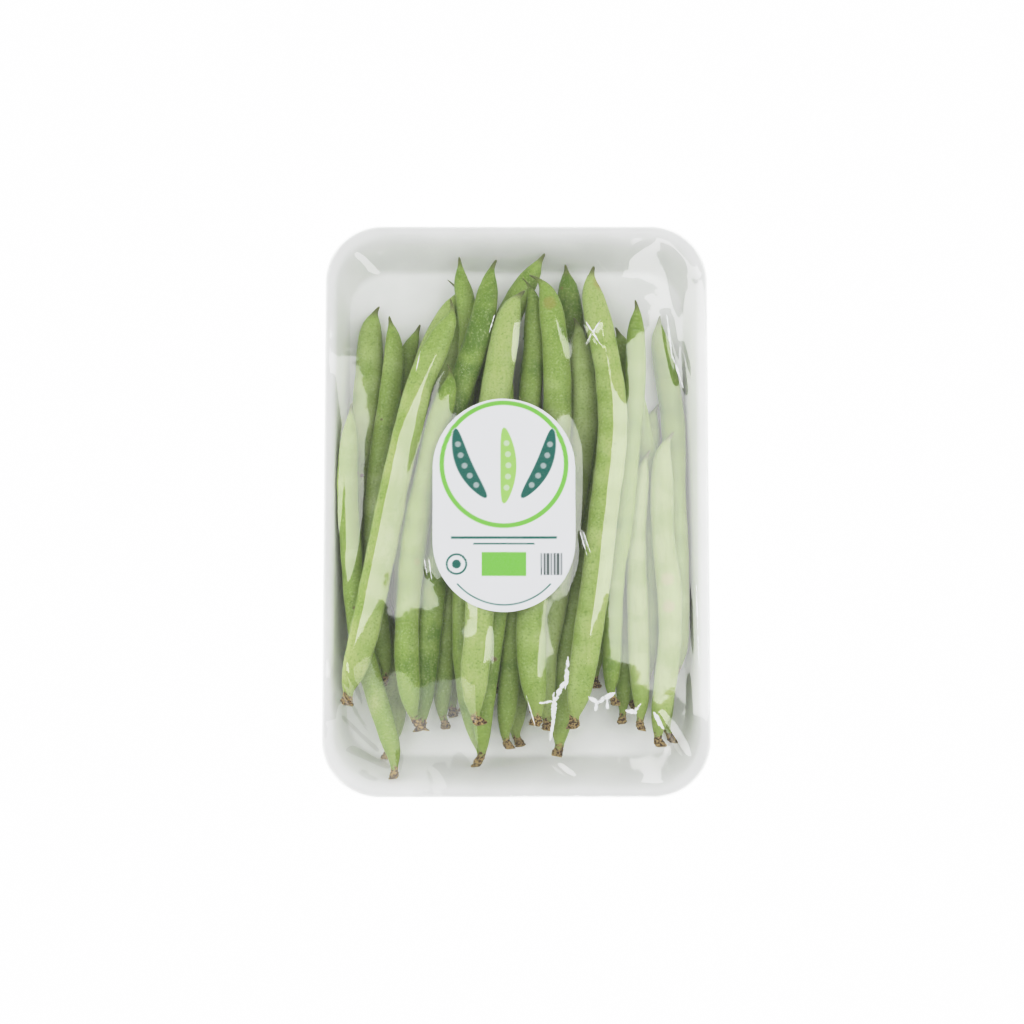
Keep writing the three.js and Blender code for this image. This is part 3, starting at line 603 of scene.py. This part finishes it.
# Painted highlights: white patches where the film's folds glint. The two ends of each, seen from above, and
# its width, in millimetres.
PAINTED_GLINTS = [
    ((18.6, -54), (17.6, -66), 1.8), ((18.2, -62), (12.6, -72), 2.1), ((13.6, -67), (13.2, -79), 2.2),
    ((14.2, -70), (8.2, -70.8), 1.4), ((13.4, -76), (12.2, -85), 1.1), ((26, -68.4), (29.8, -71.2), 1.7),
    ((28.6, -71), (35.8, -67.2), 2.0), ((29.3, -70), (28.6, -73.8), 1.3), ((32.8, -69), (33, -73), 1.3),
    ((39.6, -73.6), (43.8, -74.5), 1.6), ((42.8, -74.8), (45.1, -71.2), 1.7),
    ((49.8, -74.2), (53.6, -80.6), 1.9),
    ((25.2, 69), (30.8, 59.5), 0.7), ((31, 69), (25.2, 60), 0.6), ((55.6, 72), (57.4, 55), 0.8),
    ((57.2, 57), (61.5, 44), 0.9), ((-31.6, -19), (-30.4, -27), 0.5), ((-33.2, -19), (-32.2, -25), 0.4),
    ((22.8, -9), (25.4, -18), 0.5), ((24, -9), (26.6, -17), 0.4), ((65.6, -28), (66.4, -58), 0.6),
    ((3.5, -68), (7, -80), 0.5), ((-35, 57), (-36.5, 49), 0.4), ((-8, 71), (-10, 64), 0.6),
]
# How strongly the painted white highlights on the folds show.
PAINTED_GLINT_WHITE = 0.85
LABEL_BEND = 0.35
LABEL_REACH = 32
SETTLING_ROUNDS = 260


def height_field():
    """The height of the highest pod under each point of a level grid, or 0 where there is none."""
    columns, rows = (int(2 * half / GRID) + 3 for half in GRID_HALF)
    xs = (np.arange(columns) - (columns - 1) / 2) * GRID
    ys = (np.arange(rows) - (rows - 1) / 2) * GRID
    heights = np.zeros((rows, columns))
    points = []
    faces = []
    for pod in pods:
        faces += [[len(points) + corner for corner in face.vertices] for face in pod.data.polygons]
        points += [vertex.co.copy() for vertex in pod.data.vertices]
    solids = BVHTree.FromPolygons(points, faces)
    down = Vector((0, 0, -1))
    above = cad_bounds[1][2] + 10 * MM
    for j, y in enumerate(ys):
        for i, x in enumerate(xs):
            hit = solids.ray_cast(Vector((x, y, above)), down)[0]
            if hit is not None:
                heights[j, i] = hit.z
    return xs, ys, heights


def inside_depth(x, y, half_x, half_y, radius):
    """How far a point is inside a rounded rectangle. It is negative outside."""
    dx = np.abs(x) - (half_x - radius)
    dy = np.abs(y) - (half_y - radius)
    outside = np.hypot(np.maximum(dx, 0), np.maximum(dy, 0)) + np.minimum(np.maximum(dx, dy), 0)
    return radius - outside


def in_blocks(values, scale):
    """A grid cut into square blocks. Each block's own rows and columns are axes 1 and 3."""
    rows, columns = (count // scale for count in values.shape)
    return values[:rows * scale, :columns * scale].reshape(rows, scale, columns, scale)


def stretched_sheet(floor, fixed):
    """A sheet pulled tight over a floor of heights, and held where it is fixed. It is settled on coarse
    grids first, and then on finer ones."""
    sheet = floor.copy()
    for scale in (8, 4, 2, 1):
        low = in_blocks(floor, scale).max(axis=(1, 3))
        held = in_blocks(fixed, scale).any(axis=(1, 3))
        current = np.maximum(in_blocks(sheet, scale).mean(axis=(1, 3)), low)
        for _ in range(SETTLING_ROUNDS):
            beside = current[1:-1, :-2] + current[1:-1, 2:]
            mean = current.copy()
            mean[1:-1, 1:-1] = (current[:-2, 1:-1] + current[2:, 1:-1] + beside) / 4
            current = np.where(held, current, np.maximum(mean, low))
        grown = np.repeat(np.repeat(current, scale, axis=0), scale, axis=1)
        sheet[:grown.shape[0], :grown.shape[1]] = grown
        sheet = np.where(fixed, floor, sheet)
    return sheet


def parabola_swept(heights, bend_radius, reach, lowest):
    """Heights with an upright parabola slid under them, or over them, along both grid directions."""
    pick = np.minimum if lowest else np.maximum
    sign = 1 if lowest else -1
    for axis in (0, 1):
        swept = heights.copy()
        for step in range(1, reach + 1):
            rise = sign * (step * GRID) ** 2 / (2 * bend_radius)
            for shift in (step, -step):
                swept = pick(swept, np.roll(heights, shift, axis=axis) + rise)
        heights = swept
    return heights


def blurred(values, across, along):
    """Values averaged over a bell of a given width across the tray and another along it."""
    for axis, width in ((0, along), (1, across)):
        shifts = range(-int(3 * width / GRID), int(3 * width / GRID) + 1)
        bell = np.exp([-0.5 * (shift * GRID / width) ** 2 for shift in shifts])
        shares = bell / bell.sum()
        values = sum(share * np.roll(values, shift, axis=axis) for share, shift in zip(shares, shifts))
    return values


def clung(gap, depth):
    """How far the film dips into the gaps between the pods, where it clings a little to their sides."""
    near = np.clip(gap - FILM_CLEARANCE, 0, None)
    dip = CLING_DEPTH * near / (near + CLING_REACH)
    dip *= np.clip((depth - CLING_MARGIN) / CLING_MARGIN, 0, 1)
    return np.minimum(blurred(dip, 1 * MM, 1 * MM), near)


def creased(x, y, start, end, width):
    """A ridge of unit height on the line between two points, which fades towards both ends."""
    line = np.subtract(end, start)
    share = ((x - start[0]) * line[0] + (y - start[1]) * line[1]) / (line @ line)
    off = np.hypot(x - start[0] - share * line[0], y - start[1] - share * line[1])
    return np.exp(-(off / width) ** 2) * np.sin(np.pi * np.clip(share, 0, 1))


def film_heights():
    """The film's height over a level grid, held flatter by the stiff label, and its creases' heights."""
    xs, ys, heights = height_field()
    x, y = np.meshgrid(xs, ys)
    depth = inside_depth(x, y, TRAY_HIGH.x, TRAY_HIGH.y, RIM_CORNER)
    rim = TRAY_HIGH.z
    over_rim = depth < LIP - 0.6 * MM
    floor = np.where(heights > 0, heights + FILM_CLEARANCE, 0)
    drop = np.clip(RIM_ROUND - depth, 0, None)
    floor = np.where(over_rim, np.maximum(floor, rim + RIM_CLEARANCE - RIM_FALL * drop), floor)
    floor = np.maximum(floor, TRAY_LOW.z + FOAM)
    held = depth < 1.0 * MM
    sheet = stretched_sheet(floor, held)
    sheet = sheet - clung(sheet - heights, depth)
    stiff = parabola_swept(sheet, LABEL_BEND, LABEL_REACH, lowest=False)
    stiff = parabola_swept(stiff, LABEL_BEND, LABEL_REACH, lowest=True)
    under_label = inside_depth(x - LABEL_CENTRE.x, y - LABEL_CENTRE.y, *LABEL_HALF, LABEL_HALF[0]) > 0
    bare = stretched_sheet(np.where(under_label, np.maximum(floor, stiff), floor), held)
    on_label = blurred(under_label.astype(float), 2 * MM, 2 * MM)
    sheet = bare - clung(bare - heights, depth) * (1 - on_label)
    sheet = np.maximum(sheet, np.where(under_label, stiff, 0))
    easing = np.clip((depth - 3 * MM) / (4 * MM), 0, 1)
    sheet = sheet * (1 - easing) + blurred(sheet, EASE_ACROSS, EASE_ALONG) * easing
    sheet = np.maximum(sheet, heights + 0.1 * MM)
    ridges = np.zeros_like(sheet)
    for start, end, height, width in CREASES:
        ridges += creased(x / MM, y / MM, start, end, width) * height * MM
    return xs, ys, sheet, ridges


def taut_normals(xs, ys, sheet, ridges):
    """The film's shading normals over the same grid, for a sheet pulled tighter than the heap allows."""
    along, across = np.gradient(blurred(sheet, 1 * MM, 5 * MM), GRID)
    crease_along, crease_across = np.gradient(ridges, GRID)
    lean = -LEAN_LEFT[0] * np.clip(xs / LEAN_LEFT[1], -1, 0)
    lean -= LEAN_RIGHT[0] * np.clip(xs / LEAN_RIGHT[1], 0, 1)
    lean = lean * np.clip((LEAN_END - np.abs(ys)) / SHADING_BLEND, 0, 1)[:, None]
    halves = (-SHADING_BLEND, SHADING_BLEND)
    rising, falling = (np.interp(xs, halves, (TAUT_LEFT, share)) for share in TAUT_RIGHT)
    slope_x = np.where(across > 0, rising, falling) * across + lean + crease_across
    slope_y = TAUT_ALONG * along + crease_along
    normals = np.stack([-slope_x, -slope_y, np.ones_like(slope_x)], axis=-1)
    return normals / np.linalg.norm(normals, axis=-1, keepdims=True)


def sample(xs, ys, sheet, x, y):
    """A sheet's values at any points, read between its grid points."""
    fx = np.clip((x - xs[0]) / GRID, 0, len(xs) - 1.001)
    fy = np.clip((y - ys[0]) / GRID, 0, len(ys) - 1.001)
    i, j = fx.astype(int), fy.astype(int)
    u, v = fx - i, fy - j
    low = sheet[j, i] * (1 - u) + sheet[j, i + 1] * u
    high = sheet[j + 1, i] * (1 - u) + sheet[j + 1, i + 1] * u
    return low * (1 - v) + high * v


def onto_rounded(u, v, half_x, half_y, radius):
    """Points of a square of unit half-width, spread over a rounded rectangle."""
    level = np.maximum(np.abs(u), np.abs(v))
    x, y, r = u * half_x, v * half_y, level * radius
    cx, cy = level * half_x - r, level * half_y - r
    dx, dy = np.abs(x) - cx, np.abs(y) - cy
    corner = (dx > 0) & (dy > 0)
    scale = np.where(corner, r / np.maximum(np.hypot(dx, dy), 1e-9), 1)
    x = np.where(corner, np.sign(x) * (cx + dx * scale), x)
    y = np.where(corner, np.sign(y) * (cy + dy * scale), y)
    return x, y


def film_skirt():
    """The film's rings from the rim, down the walls and in under the base. Each has an inset at the sides
    and at the ends, a corner radius and a height."""
    wall_top = TRAY_HIGH.z - FILM_OFF_LIP
    wall_foot = TRAY_LOW.z + 1 * MM
    off_wall = LIP - FOAM - FILM_OFF_WALL
    out = -0.8 * FILM_OUT
    rings = [(-0.3 * MM, -0.3 * MM, RIM_CORNER, TRAY_HIGH.z - 0.6 * MM)]
    rings.append((out, out, RIM_CORNER, TRAY_HIGH.z - 1.3 * MM))
    rings.append((out, out, RIM_CORNER, wall_top))
    for share in np.linspace(0.06, 0.97, 14):
        level = wall_top - (wall_top - wall_foot) * share
        radius = RIM_CORNER - (RIM_CORNER - FLOOR_CORNER) * share
        rings.append((SIDE_RUN * share + off_wall, END_RUN * share + off_wall, radius, level))
    turn = off_wall + 0.7 * MM
    rings.append((SIDE_RUN + turn, END_RUN + turn, FLOOR_CORNER, TRAY_LOW.z))
    side_foot = SIDE_RUN + off_wall + 1.8 * MM
    end_foot = END_RUN + off_wall + 1.8 * MM
    for share in np.linspace(0, 1, 11):
        side_inset = side_foot + (HEM - side_foot) * share
        end_inset = end_foot + (HEM - end_foot) * share
        rings.append((side_inset, end_inset, FLOOR_CORNER, UNDER_BASE))
    return rings


def make_film():
    """The film's top, point by point over its heights, and its skirt below the rim."""
    xs, ys, sheet, ridges = film_heights()
    normals = taut_normals(xs, ys, sheet, ridges)
    sheet = sheet + ridges
    lines_u = np.linspace(-1, 1, FILM_COLUMNS + 1)
    lines_v = np.linspace(-1, 1, FILM_ROWS + 1)
    u, v = np.meshgrid(lines_u, lines_v)
    x, y = onto_rounded(u, v, TRAY_HIGH.x, TRAY_HIGH.y, RIM_CORNER)
    top = np.stack([x, y, sample(xs, ys, sheet, x, y)], axis=-1).reshape(-1, 3)
    index = np.arange(len(top)).reshape(FILM_ROWS + 1, FILM_COLUMNS + 1)
    faces = grid_faces(index)
    rim_loop = grid_edge(index)
    edge_u, edge_v = u.ravel()[rim_loop], v.ravel()[rim_loop]
    points = [top]
    previous = rim_loop
    start = len(top)
    for side_inset, end_inset, radius, z in film_skirt():
        rx, ry = onto_rounded(edge_u, edge_v, TRAY_HIGH.x - side_inset, TRAY_HIGH.y - end_inset, radius)
        points.append(np.stack([rx, ry, np.full(len(rx), z)], axis=1))
        ring = start + np.arange(len(rim_loop))
        faces = np.concatenate([faces, band_faces(previous, ring)])
        previous = ring
        start += len(rim_loop)
    points = np.concatenate(points)
    film = mesh_piece("film", points, faces, make_film_material(), ["stretch_film"])
    own = np.empty(start * 3)
    film.data.vertices.foreach_get("normal", own)
    own = own.reshape(-1, 3)
    depth = inside_depth(x, y, TRAY_HIGH.x, TRAY_HIGH.y, RIM_CORNER).ravel()
    share = np.clip((depth - 3 * MM) / (5 * MM), 0, 1)
    taut = np.stack([sample(xs, ys, normals[..., k], x, y).ravel() for k in range(3)], axis=1)
    own[:len(top)] += share[:, None] * (taut - own[:len(top)])
    film.data.normals_split_custom_set_from_vertices(own.tolist())
    return xs, ys, sheet


def make_film_material():
    """Clear film: see-through, with the sharp reflections of a glossy plastic on its faint ripples.

    It is too thin to cast a shadow, so light passes it freely on the way to what it wraps."""
    n = Nodes("film")
    place = n.add("ShaderNodeTexCoord").outputs["Object"]
    soft = n.noise(place, 60.0, 1, 0.4)
    ripple = n.noise(place, 210.0, 1, 0.4)
    normal = n.bump(soft, 1.0 * MM, 0.28)
    normal = n.bump(ripple, 0.25 * MM, 0.12, normal)
    gloss = n.add("ShaderNodeBsdfGlossy", [
        ("Roughness", 0.05), ("Normal", normal), ("Color", (1, 1, 1, 1))])
    clear = n.add("ShaderNodeBsdfTransparent", [("Color", (0.99, 0.992, 0.99, 1))])
    facing = n.add("ShaderNodeFresnel", [("IOR", 1.5), ("Normal", normal)])
    ray = n.add("ShaderNodeLightPath")
    passing = n.math("MAXIMUM", ray.outputs["Is Shadow Ray"], ray.outputs["Is Diffuse Ray"])
    stopped = n.math("SUBTRACT", 1.0, passing)
    share = n.math("MULTIPLY", facing.outputs[0], FILM_SHINE, clamp=True)
    share = n.math("MULTIPLY", share, stopped)
    mixed = n.add("ShaderNodeMixShader", [(0, share), (1, clear.outputs[0]), (2, gloss.outputs[0])])
    ground = n.seen_from_above(place)
    ragged = n.ramp(n.noise(place, 420.0, 2, 0.5), 0.3, 0.7, -0.7, 0.7)
    # Painted highlights: a white surface is mixed in over the folds listed above, in place of the glints
    # they catch.
    white = 0.0
    for start, end, width in PAINTED_GLINTS:
        from_ends = [n.vector_math("DISTANCE", ground, (*point, 0)) for point in (start, end)]
        length = math.dist(start, end)
        around = n.math("SUBTRACT", n.math("ADD", *from_ends), length)
        around = n.math("ADD", n.math("MULTIPLY", around, 2 * length / width ** 2), ragged)
        white = n.math("MAXIMUM", white, n.ramp(around, 0.4, 1.0, 1, 0))
    white = n.math("MULTIPLY", n.math("MULTIPLY", white, PAINTED_GLINT_WHITE), stopped)
    painted_glint = n.add("ShaderNodeBsdfPrincipled", [("Base Color", (0.97, 0.985, 1, 1)), ("Roughness", 0.3)])
    folded = n.add("ShaderNodeMixShader", [(0, white), (1, mixed.outputs[0]), (2, painted_glint.outputs[0])])
    return n.finish(folded.outputs[0])


film_surface = make_film()


# Label
# A coated paper label with round ends, stuck on the film over the middle of the pods. It is printed
# with a green ring round a drawing of three pods, and with plain small marks below them.

LABEL_STEP = 0.3 * MM
LABEL_THICKNESS = 0.12 * MM
LABEL_CLEARANCE = 0.2 * MM
INK_EDGE = 0.28
PAPER = (0.80, 0.815, 0.85)
LEAF_GREEN = (0.20, 0.52, 0.085)
DEEP_GREEN = (0.012, 0.13, 0.10)
SOFT_GREEN = (0.33, 0.62, 0.16)
BAR_INK = (0.02, 0.05, 0.04)
# Places and sizes of the print are in millimetres from the label's middle.
RING_PLACE = 14.7
RING_RADIUS = 22.4
MARKS_PLACE = -21.5
DRAWN_LENGTH = 27
# Each drawn pod: its foot, its lean, its bow and its ink.
DRAWN_PODS = [
    ((-6.5, 2.6), -0.42, -2.4, DEEP_GREEN), ((6.5, 2.6), 0.42, 2.4, DEEP_GREEN),
    ((0, 0.6), 0.0, 1.6, SOFT_GREEN),
]


def inked(colours, ink, distance):
    """Prints an ink wherever the distance to its shape, in millimetres, is below zero."""
    share = np.clip(0.5 - distance / INK_EDGE, 0, 1)[:, None]
    return colours * (1 - share) + np.array(ink) * share


def to_box(x, y, centre_x, centre_y, half_width, half_height):
    """The distance to an upright rectangle, negative inside."""
    return np.maximum(np.abs(x - centre_x) - half_width, np.abs(y - centre_y) - half_height)


def along_drawn_pod(foot, lean, bow, share):
    """A point on the bowed middle line of a drawn pod, at a share of its length from its foot."""
    out = bow * math.sin(math.pi * share)
    px = foot[0] + DRAWN_LENGTH * share * math.sin(lean) + out * math.cos(lean)
    py = foot[1] + DRAWN_LENGTH * share * math.cos(lean) - out * math.sin(lean)
    return px, py


def to_drawn_pod(x, y, foot, lean, thickness, bow):
    """The distance to a drawing of a bowed pod that tapers to both ends."""
    nearest = np.full(x.shape, np.inf)
    for share in np.linspace(0, 1, 40):
        px, py = along_drawn_pod(foot, lean, bow, share)
        swell = thickness * (0.12 + 0.88 * math.sin(math.pi * share) ** 0.6)
        nearest = np.minimum(nearest, np.hypot(x - px, y - py) - swell)
    return nearest


def label_print(x, y):
    """The label's colour at points given in millimetres from its middle."""
    colours = np.tile(PAPER, (len(x), 1))
    colours = inked(colours, LEAF_GREEN, np.abs(np.hypot(x, y - RING_PLACE) - RING_RADIUS) - 0.85)
    for foot, lean, bow, ink in DRAWN_PODS:
        colours = inked(colours, PAPER, to_drawn_pod(x, y, foot, lean, 3.6, bow))
        colours = inked(colours, ink, to_drawn_pod(x, y, foot, lean, 2.9, bow))
        lighter = np.array(ink) * 0.6 + np.array(PAPER) * 0.4
        for seed in np.linspace(0.2, 0.8, 5):
            sx, sy = along_drawn_pod(foot, lean, bow, seed)
            colours = inked(colours, lighter, np.hypot(x - sx, y - sy) - 1.05)
    colours = inked(colours, DEEP_GREEN, to_box(x, y, 0, -12.0, 19.0, 0.45))
    colours = inked(colours, DEEP_GREEN, to_box(x, y, 0, -14.2, 11.0, 0.3))
    from_dot = np.hypot(x + 17, y - MARKS_PLACE)
    colours = inked(colours, DEEP_GREEN, np.abs(from_dot - 3.5) - 0.35)
    colours = inked(colours, DEEP_GREEN, from_dot - 1.6)
    colours = inked(colours, LEAF_GREEN, to_box(x, y, 0, MARKS_PLACE, 8.0, 4.3))
    for bar in range(7):
        upright = to_box(x, y, 13.4 + 1.2 * bar, MARKS_PLACE, 0.22 + 0.12 * (bar % 3), 3.9)
        colours = inked(colours, BAR_INK, upright)
    below = (np.abs(np.hypot(x, y + 13.8) - 22.3) - 0.25, y + 28.5, np.abs(x) - 17.5)
    return inked(colours, DEEP_GREEN, np.maximum.reduce(below))


def make_label(surface):
    """The label, bent over the film under it, with its printed colours kept on its points."""
    xs, ys, sheet = surface
    half_width, half_length = LABEL_HALF
    columns = np.linspace(-1, 1, int(2 * half_width / LABEL_STEP))
    rows = np.linspace(-1, 1, int(2 * half_length / LABEL_STEP))
    u, v = np.meshgrid(columns, rows)
    x, y = (values.ravel() for values in onto_rounded(u, v, half_width, half_length, half_width))
    z = sample(xs, ys, sheet, x + LABEL_CENTRE.x, y + LABEL_CENTRE.y) + LABEL_CLEARANCE
    top = np.stack([x + LABEL_CENTRE.x, y + LABEL_CENTRE.y, z], axis=1)
    index = np.arange(len(top)).reshape(u.shape)
    loop = grid_edge(index)
    edge = top[loop] - [0, 0, LABEL_THICKNESS]
    ring = len(top) + np.arange(len(loop))
    faces = np.concatenate([grid_faces(index), band_faces(loop, ring)])
    points = np.concatenate([top, edge])
    piece = mesh_piece("paper_label", points, faces, make_label_material(), ["label"])
    colours = np.ones((len(top) + len(loop), 4), dtype=np.float32)
    colours[:, :3] = PAPER
    colours[:len(top), :3] = label_print(x / MM, y / MM)
    attribute = piece.data.attributes.new("print", "FLOAT_COLOR", "POINT")
    attribute.data.foreach_set("color", colours.ravel())
    return piece


def make_label_material():
    """Coated paper: smooth, slightly shiny, with printed colours and a very faint fibre grain."""
    n = Nodes("label_paper")
    place = n.add("ShaderNodeTexCoord").outputs["Object"]
    ink = n.add("ShaderNodeAttribute", attribute_name="print").outputs["Color"]
    fibre = n.noise(place, 2600.0, 3)
    colour = n.mix(n.ramp(fibre, 0.3, 0.7, 0, 0.05), ink, (0.6, 0.6, 0.6, 1))
    paper = n.add("ShaderNodeBsdfPrincipled", [
        ("Base Color", colour), ("Roughness", 0.5), ("Specular IOR Level", 0.2),
        ("Normal", n.bump(fibre, 0.03 * MM, 0.3))])
    return n.finish(paper.outputs[0])


make_label(film_surface)


# Floor and light
# A white light table under two soft key lights. White panels over both sides and beyond the stalk ends
# are only mirrored in the film, as its pale veils, and a bright strip gives some glints on its folds.
# The brightest glints on the folds are painted on the film as white highlights.

FLOOR_SIZE = 8.0
ROOM_LIGHT = 0.6
ROOM_MIRRORED = 0.25
HORIZON_MIRRORED = 1.0
HORIZON_BAND = (0.15, 0.5)
PANEL_HEIGHT = 0.33
WHITE_LIGHT = 4.0
SHOULDER = [
    (0.3, 0.3), (0.5, 0.51), (0.7, 0.65), (0.9, 0.745), (1.2, 0.83), (1.6, 0.905), (2.2, 0.965), (3, 0.99),
]


def make_floor():
    """A level sheet of bright white paper, much wider than the pack."""
    mesh = bpy.data.meshes.new("floor")
    half = FLOOR_SIZE / 2
    corners = [(-half, -half, 0), (half, -half, 0), (half, half, 0), (-half, half, 0)]
    mesh.from_pydata(corners, [], [(0, 1, 2, 3)])
    floor = bpy.data.objects.new("floor", mesh)
    bpy.context.scene.collection.objects.link(floor)
    n = Nodes("floor")
    paper = n.add("ShaderNodeBsdfPrincipled", [
        ("Base Color", (0.93, 0.93, 0.93, 1)), ("Roughness", 0.9), ("Emission Color", (1, 1, 1, 1)),
        ("Emission Strength", 2.4)])
    mesh.materials.append(n.finish(paper.outputs[0]))


def add_softbox(name, location, size, radiance):
    """An area light aimed at the pack, as bright as asked for each square metre of it. It lights what
    it falls on and isn't mirrored in it."""
    data = bpy.data.lights.new(name, "AREA")
    data.shape = "RECTANGLE"
    data.size, data.size_y = size
    data.energy = radiance * math.pi * size[0] * size[1]
    light = bpy.data.objects.new(name, data)
    bpy.context.scene.collection.objects.link(light)
    light.location = location
    light.rotation_euler = (Vector((0, 0, 0.02)) - Vector(location)).to_track_quat("-Z", "Y").to_euler()
    light.visible_glossy = False
    light.visible_camera = False
    return light


def add_mirrored(name, across, along, height, radiance):
    """A level panel between two distances across and along the tray, which is only mirrored."""
    middle = (sum(across) / 2, sum(along) / 2, height)
    light = add_softbox(name, middle, (across[1] - across[0], along[1] - along[0]), radiance)
    light.rotation_euler = (0, 0, 0)
    light.visible_glossy = True
    light.visible_diffuse = False
    light.visible_transmission = False


def make_world():
    """A dim white room. In reflections its ceiling is darker still, and its walls are brighter."""
    world = bpy.data.worlds.new("studio")
    world.use_nodes = True
    tree = world.node_tree
    background = tree.nodes["Background"]
    background.inputs["Color"].default_value = (1, 1, 1, 1)
    ray = tree.nodes.new("ShaderNodeLightPath")
    direction = tree.nodes.new("ShaderNodeTexCoord")
    height = tree.nodes.new("ShaderNodeSeparateXYZ")
    tree.links.new(direction.outputs["Generated"], height.inputs["Vector"])
    mirrored = tree.nodes.new("ShaderNodeMapRange")
    tree.links.new(height.outputs["Z"], mirrored.inputs["Value"])
    mirrored.inputs["From Min"].default_value = HORIZON_BAND[0]
    mirrored.inputs["From Max"].default_value = HORIZON_BAND[1]
    mirrored.inputs["To Min"].default_value = HORIZON_MIRRORED
    mirrored.inputs["To Max"].default_value = ROOM_MIRRORED
    strength = tree.nodes.new("ShaderNodeMapRange")
    tree.links.new(ray.outputs["Is Glossy Ray"], strength.inputs["Value"])
    tree.links.new(mirrored.outputs["Result"], strength.inputs["To Max"])
    strength.inputs["To Min"].default_value = ROOM_LIGHT
    tree.links.new(strength.outputs["Result"], background.inputs["Strength"])
    bpy.context.scene.world = world


def soften_highlights(view):
    """Rolls off the bright end as a camera does. Each point pairs the light that comes in with the
    light that is shown."""
    view.view_transform = "Standard"
    view.use_curve_mapping = True
    mapping = view.curve_mapping
    mapping.white_level = (WHITE_LIGHT, WHITE_LIGHT, WHITE_LIGHT)
    curve = mapping.curves[3]
    for light, shown in SHOULDER:
        curve.points.new(light / WHITE_LIGHT, shown)
    for point in curve.points:
        point.handle_type = "VECTOR"
    mapping.update()


make_floor()
add_softbox("key_right", (0.95, 0.1, 1.0), (0.62, 2.0), 2.9)
add_softbox("key_left", (-0.95, 0.1, 1.0), (0.62, 2.0), 2.7)
add_mirrored("panel_left", (-0.33, -0.075), (-0.047, 0.13), PANEL_HEIGHT, 2.4)
add_mirrored("panel_right", (0.075, 0.6), (-0.10, 0.165), PANEL_HEIGHT, 2.7)
add_mirrored("panel_near", (-0.5, -0.05), (-0.5, -0.12), PANEL_HEIGHT, 1.0)
add_mirrored("strip_near", (0.0, 0.6), (-1.3, -1.1), 0.55, 14.0)
make_world()
soften_highlights(bpy.context.scene.view_settings)
